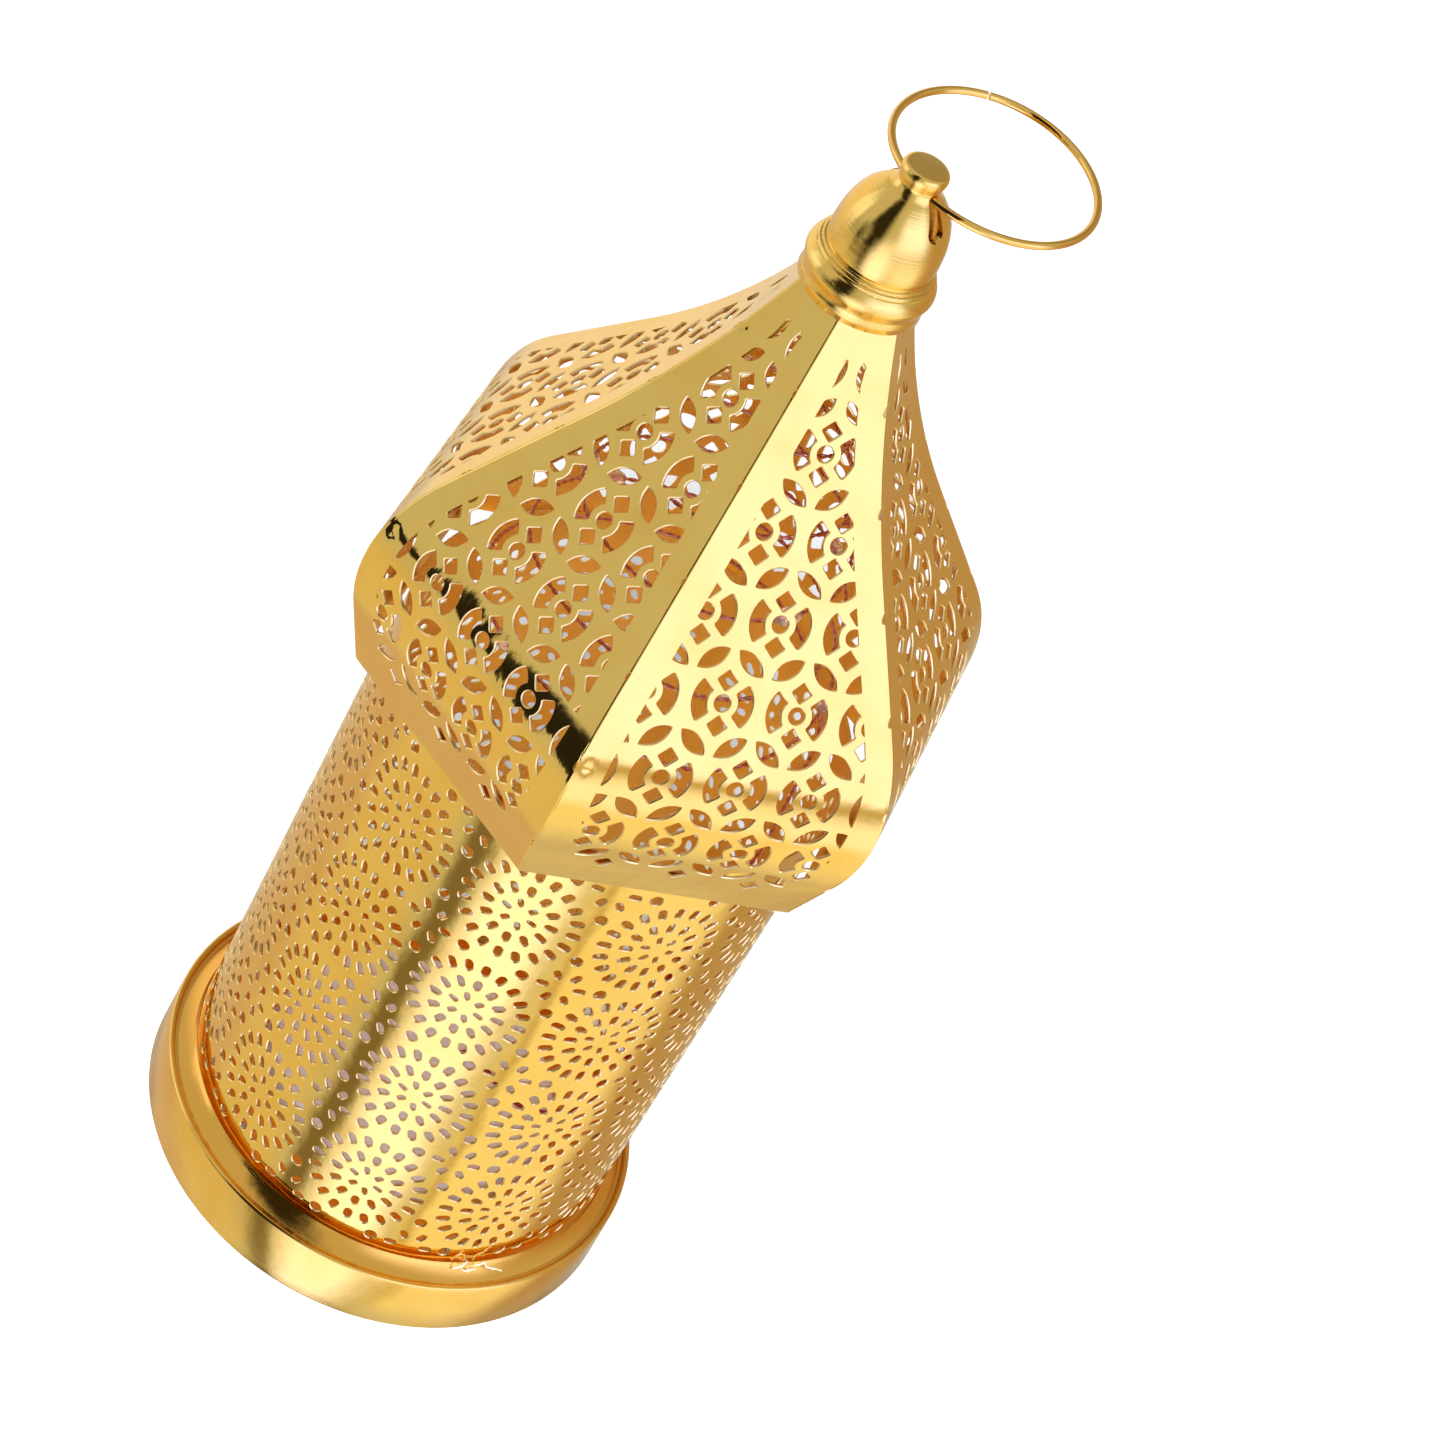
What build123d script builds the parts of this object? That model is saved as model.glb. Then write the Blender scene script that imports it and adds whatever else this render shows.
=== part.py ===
from build123d import *
import os
from math import asin, cos, radians, sin, sqrt, tan

# A perforated sheet-metal hanging lantern with a battery light string inside.
# Millimetres. +Z is up. The origin is the centre of the base's bottom edge, on the surface it stands on.
# One corner of the six-sided shade points along -Y, so one shade face looks along +X.

# ---- driving dimensions ----
SHEET = 0.5                 # thickness of the rolled tube and of the shade panels
FACES = 6                   # faces of the shade
FACE_TURN = 360 / FACES
FACE_SHARE = cos(radians(FACE_TURN / 2))     # mid-face radius over corner radius

BASE_R = 50.0               # outside radius of the base skirt
PAN_SHEET = 0.7
SKIRT_TOP = 12.6
DECK_Z = 15.4               # top of the deck that the tube stands on
DECK_HOLE_R = 30.4

TUBE_R = 44.6               # outside radius of the perforated tube
TUBE_TOP = 137.0
SEAM_LAP = 6.0              # angle in degrees that the rolled sheet overlaps itself at the back

# the shade's outside over a corner, as straight runs between bends: radius and height
SHADE_CORNER = [(52.4, 132.0), (64.3, 162.8), (21.05, 215.5), (9.4, 242.0)]
BELLY_BEND = 36.0           # radius of the outward bend, in a face's middle plane
NECK_BEND = 160.0           # radius of the inward bend above it
SEAM_GAP = 0.05             # between the cut edges of two neighbouring panels
FLANGE_W = 5.0              # folded strip of each panel, under its neighbour
WELD_R = 1.2

# outside of the spun cap as radius and height, from the foot of its skirt to the centre of its knob
CAP_SKIRT = [(11.5, 239.0), (11.2, 241.4)]
CAP_BEAD = [(11.2, 241.4), (12.0, 243.9), (10.3, 246.6)]
CAP_GROOVE = [(10.3, 246.6), (9.7, 247.5), (9.9, 248.4)]
CAP_DOME = [(9.9, 248.4), (9.85, 252.0), (9.0, 256.2), (6.9, 259.9), (4.6, 262.2), (3.95, 263.5)]
CAP_KNOB = [(3.95, 263.5), (4.3, 265.2), (4.1, 266.4)]
KNOB_TOP = 266.7
KNOB_TOP_R = 3.4
CAP_SHEET = 0.6

RING_R = 18.9               # centreline radius of the hanging ring
RING_WIRE = 1.45
RING_GAP = 2.0              # degrees between the butted wire ends
RING_GAP_AT = 234.0         # degrees round the ring from the hole side to the gap
PIVOT_Z = 262.7
HOLE_AZIMUTH = -31.0        # direction of the ring hole's axis, from +X towards +Y
RING_REST_TILT = 2.0        # degrees above level at rest
HOLE_TOP_R = 1.05
HOLE_FOOT_R = 1.8
HOLE_FOOT_Z = 258.9
HOLE_WALL_R = 4.4           # radius of the dome where the wire leaves it

BOX_R = 30.0                # battery box, a round white cup upside down
BOX_WALL = 1.5
BOX_TOP = 20.5
BOX_FOOT = 6.6
BOX_FLANGE_R = 32.0
BOX_FLANGE_T = 2.0
LID_T = 2.0
CELL_R = 5.25               # AAA cells
CELL_L = 42.7
CELL_NUB_R = 1.9
CELL_NUB_L = 1.0
CELL_PITCH = 11.0
CELL_X = -0.6
CELL_Z = 12.9
SPRING_GAP = 2.6            # room at the negative end of each cell
SCREW_X = 18.4
SCREW_HEAD_R = 2.5
SCREW_HEAD_T = 1.2
SCREW_R = 1.2
SCREW_TIP = 14.0
BOSS_R = 2.4
SWITCH_X = -21.4
SWITCH_SIZE = (3.8, 8.6, 4.6)
SLIDER_SIZE = (1.9, 2.4)
SLIDER_FOOT = 3.4
SWITCH_TRAVEL = 2.5

LEAD_D = 1.3                # insulated lead from the box
STRING_D = 0.9              # twisted copper light wire
COIL_TURNS = 5
COIL_STEPS = 8
COIL_FOOT = (38.0, 143.0)   # radius and height of the coil's first turn
COIL_TOP = (13.0, 214.0)
BULB_R = 1.9
BULB_EVERY = 3

PARTS = "parts"


def save(shape, name):
    """Write one sub-part to its STEP file."""
    shape.label = name
    export_step(shape, f"{PARTS}/{name}.step")


def xz(points):
    """Points given as radius and height, in the XZ plane."""
    return [(r, 0, z) for r, z in points]


def moved_in(points, depth):
    """Corners of a bent line moved sideways towards the axis by depth."""
    sides = []
    for (r1, z1), (r2, z2) in zip(points, points[1:]):
        run = Vector(r2 - r1, z2 - z1).normalized()
        sides.append(Vector(-run.Y, run.X))
    moved = [Vector(points[0]) + sides[0] * depth]
    for corner, before, after in zip(points[1:-1], sides, sides[1:]):
        moved.append(Vector(corner) + (before + after) * (depth / (1 + before.dot(after))))
    moved.append(Vector(points[-1]) + sides[-1] * depth)
    return [(place.X, place.Y) for place in moved]


# ---- shade ----
def bent_line(depth):
    """Middle line of a face, at a depth under its outside."""
    middle = [(r * FACE_SHARE, z) for r, z in SHADE_CORNER]
    return FilletPolyline(*xz(moved_in(middle, depth)), radius=[BELLY_BEND - depth, NECK_BEND + depth])


def bent_sheet(skin_in, skin_out):
    """One face of the shade as a wide sheet, bent about level lines, facing +X."""
    outer = bent_line(skin_in)
    inner = bent_line(skin_out)
    section = make_face([outer, Line(outer @ 1, inner @ 1), inner, Line(inner @ 0, outer @ 0)])
    return extrude(section, amount=40, dir=(0, 1, 0), both=True)


def wedge(half_angle, gap):
    """Everything within half_angle of +X as seen from the axis, less a gap at each side."""
    apex = gap / sin(radians(half_angle))
    reach = 90.0
    side = reach * tan(radians(half_angle))
    plan = make_face(Polyline((apex, 0), (apex + reach, side), (apex + reach, -side), close=True))
    return extrude(plan, amount=300)


def corner_band():
    """Upright strip just past the corner at the +30 degree side, as wide as the flange."""
    band = Pos(45, SEAM_GAP + FLANGE_W / 2, 150) * Box(80, FLANGE_W, 300)
    return Rot(Z=FACE_TURN / 2) * band


def shade_panel():
    """One face and its folded flange, which lies under the neighbour, facing +X."""
    plate = bent_sheet(0, SHEET) & wedge(FACE_TURN / 2, SEAM_GAP)
    under = Rot(Z=FACE_TURN) * bent_sheet(SHEET + SEAM_GAP, 2 * SHEET + SEAM_GAP)
    return [plate, under & corner_band()]


def weld_spots():
    """Weld nuggets that join the foot of each shade face to the tube."""
    foot_r = SHADE_CORNER[0][0] * FACE_SHARE
    nugget = Rot(Y=90) * Cylinder(WELD_R, foot_r - SHEET - TUBE_R + 0.5)
    spots = []
    for k in range(FACES):
        middle = (foot_r - SHEET + TUBE_R) / 2
        spots.append(Rot(Z=k * FACE_TURN) * Pos(middle, 0, SHADE_CORNER[0][1] + 1.8) * nugget)
    return spots


# ---- tube and base ----
def body_tube():
    """Rolled tube with a lap seam at the back."""
    height = TUBE_TOP - DECK_Z
    low = Align.MIN
    bottom = (Align.CENTER, Align.CENTER, low)
    wall = Cylinder(TUBE_R, height, align=bottom) - Cylinder(TUBE_R - SHEET, height, align=bottom)
    lap = Cylinder(TUBE_R + SHEET, height, align=bottom) - Cylinder(TUBE_R - SHEET / 2, height, align=bottom)
    reach = 2 * TUBE_R
    side = reach * tan(radians(SEAM_LAP / 2))
    sector = extrude(make_face(Polyline((0, 0), (side, reach), (-side, reach), close=True)), amount=height)
    return Pos(0, 0, DECK_Z) * (wall + (lap & sector))


def base_pan():
    """Spun pan: straight skirt, rounded shoulder and a deck with a hole for the battery box."""
    t = PAN_SHEET
    rim_r = BASE_R - 0.3
    outer = Polyline((BASE_R, 0, 0), (rim_r, 0, SKIRT_TOP))
    rim = ThreePointArc((rim_r, 0, SKIRT_TOP), (rim_r - 0.25, 0, SKIRT_TOP + 0.7), (rim_r - 1.0, 0, SKIRT_TOP + 1.0))
    cove = ThreePointArc(rim @ 1, (47.2, 0, 13.9), (TUBE_R + 0.6, 0, DECK_Z))
    rest = Polyline(cove @ 1, (DECK_HOLE_R, 0, DECK_Z), (DECK_HOLE_R, 0, DECK_Z - t), (TUBE_R + 0.3, 0, DECK_Z - t),
                    (47.0, 0, 13.9 - t), (rim_r - t - 0.6, 0, SKIRT_TOP + 1.0 - t), (rim_r - t, 0, SKIRT_TOP - t),
                    (BASE_R - t, 0, 0), (BASE_R, 0, 0))
    return revolve(make_face([outer, rim, cove, rest]), Axis.Z)


# ---- cap and ring ----
def hole_axis():
    """Unit vector along the ring hole."""
    a = radians(HOLE_AZIMUTH)
    return Vector(cos(a), sin(a), 0)


def ring_hole():
    """Teardrop cutter through both sides of the dome, along +X before it is turned."""
    top = Rot(Y=90) * Cylinder(HOLE_TOP_R, 40)
    foot = Rot(Y=90) * Cylinder(HOLE_FOOT_R, 40)
    drop = PIVOT_Z - HOLE_FOOT_Z
    lean = asin((HOLE_FOOT_R - HOLE_TOP_R) / drop)
    corners = [(HOLE_TOP_R * cos(lean), PIVOT_Z + HOLE_TOP_R * sin(lean)),
               (HOLE_FOOT_R * cos(lean), HOLE_FOOT_Z + HOLE_FOOT_R * sin(lean))]
    outline = [(-20, y, z) for y, z in corners] + [(-20, -y, z) for y, z in reversed(corners)]
    middle = extrude(make_face(Polyline(*outline, close=True)), amount=40, dir=(1, 0, 0))
    cutter = Pos(0, 0, PIVOT_Z) * top + Pos(0, 0, HOLE_FOOT_Z) * foot + middle
    return Rot(Z=HOLE_AZIMUTH) * cutter


def cap():
    """Spun cap: skirt, bead, groove, bell dome, neck and solid knob, with the ring's hole."""
    skirt = Polyline(*xz(CAP_SKIRT))
    bead = ThreePointArc(*xz(CAP_BEAD))
    groove = ThreePointArc(*xz(CAP_GROOVE))
    dome = Spline(*xz(CAP_DOME))
    knob = ThreePointArc(*xz(CAP_KNOB))
    top = Polyline(knob @ 1, (KNOB_TOP_R, 0, KNOB_TOP), (0, 0, KNOB_TOP), (0, 0, PIVOT_Z + 1.7),
                   (3.2, 0, PIVOT_Z + 1.7), (3.4, 0, 263.2), (3.8, 0, 262.5), (5.7, 0, 260.1),
                   (7.9, 0, 256.2), (9.05, 0, 252.0), (9.2, 0, 248.3), (9.0, 0, 247.4), (9.8, 0, 246.2),
                   (11.3, 0, 243.8), (10.6, 0, 241.5), (10.9, 0, 239.0), skirt @ 0)
    return revolve(make_face([skirt, bead, groove, dome, knob, top]), Axis.Z) - ring_hole()


def hanging_ring():
    """Split ring of round wire, lying nearly level on the side away from the front."""
    wire = revolve(Pos(RING_R, 0, 0) * make_face(Rot(X=90) * Wire(Edge.make_circle(RING_WIRE / 2))),
                   Axis.Z, 360 - RING_GAP)
    reach = sqrt(RING_R ** 2 - HOLE_WALL_R ** 2)
    laid = Pos(reach, 0, 0) * Rot(Z=180 + RING_GAP_AT + RING_GAP / 2) * wire
    return Pos(0, 0, PIVOT_Z) * Rot(Z=HOLE_AZIMUTH + 90) * Rot(Y=-RING_REST_TILT) * laid


# ---- battery box ----
def upright(radius, z_low, z_high, x=0.0, y=0.0):
    """Upright cylinder between two heights."""
    stand = Cylinder(radius, z_high - z_low, align=(Align.CENTER, Align.CENTER, Align.MIN))
    return Pos(x, y, z_low) * stand


def block(x, y, z_low, z_high, across, along):
    """Box centred on x, y between two heights."""
    return Pos(x, y, (z_low + z_high) / 2) * Box(across, along, z_high - z_low)


def cell_places():
    """x of each cell, and +1 or -1 for the way that its nub points."""
    return [(CELL_X + k * CELL_PITCH, 1 if k % 2 == 0 else -1) for k in (-1, 0, 1)]


def battery_box():
    """White cup that holds the cells, glued into the deck by its flange."""
    cup = upright(BOX_R, BOX_FOOT, BOX_TOP)
    flange_top = DECK_Z - PAN_SHEET
    cup += upright(BOX_FLANGE_R, flange_top - BOX_FLANGE_T, flange_top)
    cup = chamfer(cup.edges().filter_by(GeomType.CIRCLE).sort_by(Axis.Z)[-1:], 0.8)
    cup -= upright(BOX_R - BOX_WALL, BOX_FOOT - 1, BOX_TOP - BOX_WALL)
    boss = upright(BOSS_R, BOX_FOOT, BOX_TOP - BOX_WALL, SCREW_X)
    cup += boss - upright(SCREW_R + 0.3, BOX_FOOT - 1, SCREW_TIP + 1, SCREW_X)
    return cup - upright(LEAD_D / 2, BOX_TOP - BOX_WALL - 1, BOX_TOP + 1, *LEAD_ROUTE[0][:2])


def battery_lid():
    """Flat round cover with a screw pocket and a window for the switch."""
    foot = BOX_FOOT - LID_T
    lid = upright(BOX_FLANGE_R - 0.4, foot, BOX_FOOT)
    lid = chamfer(lid.edges().filter_by(GeomType.CIRCLE).sort_by(Axis.Z)[:1], 0.5)
    lid -= upright(SCREW_HEAD_R + 0.3, foot - 1, foot + SCREW_HEAD_T + 0.1, SCREW_X)
    lid -= upright(SCREW_R + 0.2, foot - 1, BOX_FOOT + 1, SCREW_X)
    window = block(SWITCH_X, 0, foot - 1, BOX_FOOT + 1, SLIDER_SIZE[0] + 1.2, SLIDER_SIZE[1] + SWITCH_TRAVEL + 1.2)
    return lid - window


def lid_screw():
    """Pan-head screw with a cross slot, held captive by the lid."""
    head_foot = BOX_FOOT - LID_T + 0.1
    head_top = head_foot + SCREW_HEAD_T
    screw = upright(SCREW_HEAD_R, head_foot, head_top, SCREW_X)
    screw += upright(SCREW_R, head_top, SCREW_TIP, SCREW_X)
    for across, along in ((3.0, 0.6), (0.6, 3.0)):
        screw -= block(SCREW_X, 0, head_foot - 1, head_foot + 0.7, across, along)
    return screw


def switch_body():
    """Housing of the slide switch, inside the box above the lid's window."""
    across, along, tall = SWITCH_SIZE
    z_low = BOX_FOOT + 0.3
    body = block(SWITCH_X, 0, z_low, z_low + tall, across, along)
    slot = block(SWITCH_X, 0, z_low - 1, z_low + 2.6, SLIDER_SIZE[0] + 0.4, SLIDER_SIZE[1] + SWITCH_TRAVEL + 0.4)
    return body - slot


def switch_slider():
    """Thumb piece of the switch, at its off end."""
    y = -SWITCH_TRAVEL / 2
    return block(SWITCH_X, y, SLIDER_FOOT, BOX_FOOT + 0.3 + 2.4, *SLIDER_SIZE)


def battery(x, way):
    """AAA cell along Y, with its nub towards +Y or -Y."""
    can = Cylinder(CELL_R, CELL_L)
    can += Pos(0, 0, CELL_L / 2 + CELL_NUB_L / 2) * Cylinder(CELL_NUB_R, CELL_NUB_L)
    return Pos(x, way * (SPRING_GAP - CELL_NUB_L) / 2, CELL_Z) * Rot(X=-90 * way) * can


def end_gap():
    """Half the length between the inner faces of the contact plates."""
    return (CELL_L + CELL_NUB_L + SPRING_GAP) / 2


def contact_plates():
    """Flat spring-steel plates at both ends of each cell."""
    plates = []
    for x, way in cell_places():
        for side in (-1, 1):
            plates.append(Pos(x, side * (end_gap() + 0.2), CELL_Z - 0.4) * Box(7.4, 0.4, 8.0))
    return plates


def contact_springs():
    """Ring-wound springs that press on the negative ends."""
    springs = []
    for x, way in cell_places():
        seat = way * -(end_gap())
        for turn in range(3):
            radius = 3.2 - 0.6 * turn
            ring = Rot(X=90) * Torus(radius, 0.3)
            springs.append(Pos(x, seat + way * (0.35 + 0.8 * turn), CELL_Z) * ring)
        post = Rot(X=90) * Cylinder(0.3, SPRING_GAP - 0.4)
        springs.append(Pos(x, seat + way * (SPRING_GAP / 2), CELL_Z + 4.0) * post)
    return springs


def resistor():
    """Small axial resistor between the switch and the lead."""
    body = Rot(X=90) * Cylinder(0.9, 3.4)
    legs = Rot(X=90) * Cylinder(0.25, 8.0)
    return Pos(SWITCH_X + 1.0, 0, BOX_TOP - BOX_WALL - 2.2) * (body + legs)


# ---- wiring ----
LEAD_ROUTE = [(6, 8, 17.0), (6, 8, 24.0), (13, 1, 28.0), (24, -7, 31.5), (33, -9, 42.0),
              (36, -2, 56.0), (34, 6, 72.0), (35, 9, 86.0)]


def coil_points():
    """Points of the loose coil inside the shade, narrowing as it climbs."""
    points = []
    count = COIL_TURNS * COIL_STEPS
    for i in range(count + 1):
        share = i / count
        angle = radians(25 + 360 * i / COIL_STEPS)
        wander = 1.0 + 0.05 * sin(2.3 * i)
        radius = (COIL_FOOT[0] + (COIL_TOP[0] - COIL_FOOT[0]) * share ** 1.3) * wander
        height = COIL_FOOT[1] + (COIL_TOP[1] - COIL_FOOT[1]) * share + 1.6 * sin(1.7 * i)
        points.append((radius * cos(angle), radius * sin(angle), height))
    return points


def string_route():
    """The light string: up from the lead's end, then round the coil."""
    return [LEAD_ROUTE[-1], (37, 12, 104.0), (36, 14, 122.0)] + coil_points()


def bend_radii(route):
    """The largest radius that fits at each corner of a route."""
    radii = []
    for before, corner, after in zip(route, route[1:], route[2:]):
        run_in = Vector(corner) - Vector(before)
        run_out = Vector(after) - Vector(corner)
        half_turn = radians(run_in.get_angle(run_out) / 2)
        radii.append(0.45 * min(run_in.length, run_out.length) / tan(half_turn))
    return radii


def wire(route, diameter):
    """Round wire along a route of straight runs joined by tangent arcs."""
    path = FilletPolyline(*route, radius=bend_radii(route))
    section = Plane(path @ 0, z_dir=path % 0) * Circle(diameter / 2)
    return sweep(section, path=path), path


def bulbs():
    """Clear drops of resin, each round one tiny lamp on the string."""
    drops = []
    route = coil_points()
    for i in range(1, len(route) - 1, BULB_EVERY):
        middle = (Vector(route[i]) + Vector(route[i + 1])) / 2
        run = Vector(route[i + 1]) - Vector(route[i])
        drop = Sphere(BULB_R) + Pos(0, 0, 1.3) * Cylinder(0.9, 3.4)
        drops.append(Plane(middle, z_dir=run) * drop)
    return drops


def glue_beads():
    """Blobs of glue inside the foot of the tube and round the battery box."""
    blobs = []
    inside = upright(TUBE_R - SHEET - 0.05, DECK_Z, DECK_Z + 5)
    for k in range(5):
        angle = radians(20 + 72 * k)
        r = TUBE_R - 2.6
        blob = Pos(r * cos(angle), r * sin(angle), DECK_Z) * Sphere(2.3)
        blobs.append(blob & inside)
    return blobs


# ---- write every sub-part ----
os.makedirs(PARTS, exist_ok=True)

panel = shade_panel()
for number in range(FACES):
    turned = [Rot(Z=number * FACE_TURN) * piece for piece in panel]
    save(Compound(children=turned), f"shade_panel_{number + 1}")
for number, (cell_x, cell_way) in enumerate(cell_places()):
    save(battery(cell_x, cell_way), f"battery_{number + 1}")

lead, lead_path = wire(LEAD_ROUTE, LEAD_D)
string, string_path = wire(string_route(), STRING_D)
print("smallest bends", round(min(bend_radii(LEAD_ROUTE)), 1), round(min(bend_radii(string_route())), 1))
print("lengths", round(lead_path.length), round(string_path.length))

save(hanging_ring(), "hanging_ring")
save(cap(), "cap")
save(Compound(children=weld_spots()), "shade_welds")
save(body_tube(), "body_tube")
save(base_pan(), "base_pan")
save(battery_box(), "battery_box")
save(battery_lid(), "battery_lid")
save(lid_screw(), "lid_screw")
save(switch_body(), "switch_body")
save(switch_slider(), "switch_slider")
save(Compound(children=contact_plates()), "contact_plates")
save(Compound(children=contact_springs()), "contact_springs")
save(resistor(), "resistor")
save(lead, "lead_wire")
save(string, "light_string")
save(Compound(children=bulbs()), "string_bulbs")
save(Compound(children=glue_beads()), "glue_beads")
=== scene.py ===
from math import acos, cos, pi, radians, sin, sqrt, tan

import bmesh
import bpy
from mathutils import Matrix, Vector


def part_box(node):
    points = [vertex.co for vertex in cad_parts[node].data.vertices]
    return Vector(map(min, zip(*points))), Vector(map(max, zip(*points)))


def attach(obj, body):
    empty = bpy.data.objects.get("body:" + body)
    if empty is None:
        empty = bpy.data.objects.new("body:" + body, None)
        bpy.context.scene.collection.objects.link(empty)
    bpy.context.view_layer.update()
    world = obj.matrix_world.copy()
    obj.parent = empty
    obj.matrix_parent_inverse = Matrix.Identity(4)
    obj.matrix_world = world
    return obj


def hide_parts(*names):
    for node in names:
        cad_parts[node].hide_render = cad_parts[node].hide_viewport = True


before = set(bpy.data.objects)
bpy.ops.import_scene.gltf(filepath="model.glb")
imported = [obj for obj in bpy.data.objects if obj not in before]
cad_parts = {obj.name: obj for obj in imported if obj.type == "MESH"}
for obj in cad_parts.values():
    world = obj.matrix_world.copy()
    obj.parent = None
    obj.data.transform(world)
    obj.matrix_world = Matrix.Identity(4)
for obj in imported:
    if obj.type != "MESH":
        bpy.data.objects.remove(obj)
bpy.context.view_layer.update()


# ---------------------------------------------------------------- base pan
# A shallow pan spun from brass-plated sheet: a straight skirt open below, a rolled rim, a cove and a
# deck that the tube stands on. It is turned on a lathe, so its surface carries faint round marks.
def plug(tree, node, inputs):
    """Fill a node's inputs with values or with links from other nodes' outputs."""
    for key, value in inputs.items():
        if isinstance(value, bpy.types.NodeSocket):
            tree.links.new(value, node.inputs[key])
        else:
            node.inputs[key].default_value = value


def put(tree, kind, inputs=None, **settings):
    """Add one node with its settings and inputs."""
    node = tree.nodes.new(kind)
    for key, value in settings.items():
        setattr(node, key, value)
    plug(tree, node, inputs or {})
    return node


def calc(tree, operation, a, b=0.0):
    """One sum in a node tree."""
    return put(tree, "ShaderNodeMath", {0: a, 1: b}, operation=operation).outputs[0]


def blend(tree, share, first, second):
    """A mix of two colours."""
    return put(tree, "ShaderNodeMix", {"Factor": share, "A": first, "B": second}, data_type="RGBA").outputs[2]


def noise(tree, place, scale, detail):
    """Cloudy noise, from 0 to 1."""
    return put(tree, "ShaderNodeTexNoise", {"Vector": place, "Scale": scale, "Detail": detail}).outputs["Fac"]


def sockets(tree, side, names):
    """Name the sockets of a group, on its input or output side."""
    for name, kind, value in names:
        made = tree.interface.new_socket(name, in_out=side, socket_type="NodeSocket" + kind)
        if value is not None:
            made.default_value = value


def make_hand_marks():
    """Slow waves, small dents and wiped haze that thin plated sheet picks up when it is handled."""
    group = bpy.data.node_groups.new("hand_marks", "ShaderNodeTree")
    sockets(group, "INPUT", [("Wave", "Float", 1.0), ("Grain", "Float", 1.0), ("Haze", "Float", 0.1),
                             ("Polish", "Float", 0.06)])
    sockets(group, "OUTPUT", [("Height", "Float", None), ("Roughness", "Float", None), ("Tarnish", "Float", None)])
    given = put(group, "NodeGroupInput").outputs
    place = put(group, "ShaderNodeTexCoord").outputs["Object"]
    slow = noise(group, place, 55.0, 1.0)
    small = noise(group, place, 210.0, 2.0)
    fine = noise(group, place, 2600.0, 3.0)
    cloud = noise(group, place, 90.0, 5.0)
    waves = calc(group, "MULTIPLY", calc(group, "ADD", slow, calc(group, "MULTIPLY", small, 0.16)), given["Wave"])
    height = calc(group, "ADD", waves, calc(group, "MULTIPLY", calc(group, "MULTIPLY", fine, 0.003), given["Grain"]))
    patch = put(group, "ShaderNodeMapRange", {"Value": cloud, "From Min": 0.42, "From Max": 0.72}).outputs[0]
    rough = calc(group, "ADD", given["Polish"], calc(group, "MULTIPLY", patch, given["Haze"]))
    plug(group, put(group, "NodeGroupOutput"), {"Height": height, "Roughness": rough, "Tarnish": patch})
    return group


hand_marks = make_hand_marks()


def new_material(name):
    """An empty node material with its Principled shader and output."""
    made = bpy.data.materials.new(name)
    made.use_nodes = True
    tree = made.node_tree
    tree.nodes.clear()
    shader = put(tree, "ShaderNodeBsdfPrincipled")
    put(tree, "ShaderNodeOutputMaterial", {"Surface": shader.outputs[0]})
    return made, tree, shader


def gold_plate(name, wave, grain, haze, polish, light=(0.98, 0.68, 0.18), deep=(0.93, 0.59, 0.13)):
    """Polished gold-coloured plating: the tree, its shader, and the height that its bump reads."""
    made, tree, shader = new_material(name)
    marks = put(tree, "ShaderNodeGroup", node_tree=hand_marks)
    plug(tree, marks, {"Wave": wave, "Grain": grain, "Haze": haze, "Polish": polish})
    tint = blend(tree, marks.outputs["Tarnish"], (*light, 1), (*deep, 1))
    plug(tree, shader, {"Base Color": tint, "Metallic": 1.0, "Roughness": marks.outputs["Roughness"]})
    return made, tree, shader, marks.outputs["Height"]


def bump(tree, shader, height, distance, strength=1.0):
    """Feed a height into the shader's normal."""
    made = put(tree, "ShaderNodeBump", {"Height": height, "Distance": distance, "Strength": strength})
    plug(tree, shader, {"Normal": made.outputs[0]})


cove_outer, cove_inner = 0.0500, 0.0490
# Colour painted inside the rim: painted reflection and shade from the gold around the cove.
painted_cove_reflection = (0.95, 0.47, 0.07, 1)


def spun_gold():
    """Plating over spun sheet: rings left by the forming roller, and a warmer orange painted inside the rim as
    painted reflection and shade.
    """
    made, tree, shader, height = gold_plate("spun_gold", 0.25, 0.6, 0.06, 0.07)
    place = put(tree, "ShaderNodeTexCoord").outputs["Object"]
    axes = put(tree, "ShaderNodeSeparateXYZ", {0: place}).outputs
    squares = calc(tree, "POWER", axes[0], 2.0), calc(tree, "POWER", axes[1], 2.0)
    radius = calc(tree, "SQRT", calc(tree, "ADD", *squares))
    along = calc(tree, "SUBTRACT", axes[2], radius)
    rings = put(tree, "ShaderNodeTexNoise", {"W": calc(tree, "MULTIPLY", along, 2200.0), "Detail": 3.0},
                noise_dimensions="1D").outputs["Fac"]
    # Inside the rim's radius the colour turns a deeper orange: painted reflection and shade, on the cove and the
    # deck.
    cove = put(tree, "ShaderNodeMapRange", {"Value": radius, "From Min": cove_outer, "From Max": cove_inner},
               interpolation_type="SMOOTHSTEP").outputs[0]
    plain = shader.inputs["Base Color"].links[0].from_socket
    cove_reflection_tint = blend(tree, calc(tree, "MULTIPLY", cove, 0.75), plain, painted_cove_reflection)
    tree.links.new(cove_reflection_tint, shader.inputs["Base Color"])
    bump(tree, shader, calc(tree, "ADD", height, calc(tree, "MULTIPLY", rings, 0.006)), 0.0012)
    return made


spun_gold_material = spun_gold()


def arc(centre, radius, start, end, steps):
    """Points of an arc in the radius and height plane, angles in degrees."""
    turns = [radians(start + (end - start) * i / steps) for i in range(steps + 1)]
    return [(centre[0] + radius * cos(a), centre[1] + radius * sin(a)) for a in turns]


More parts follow.
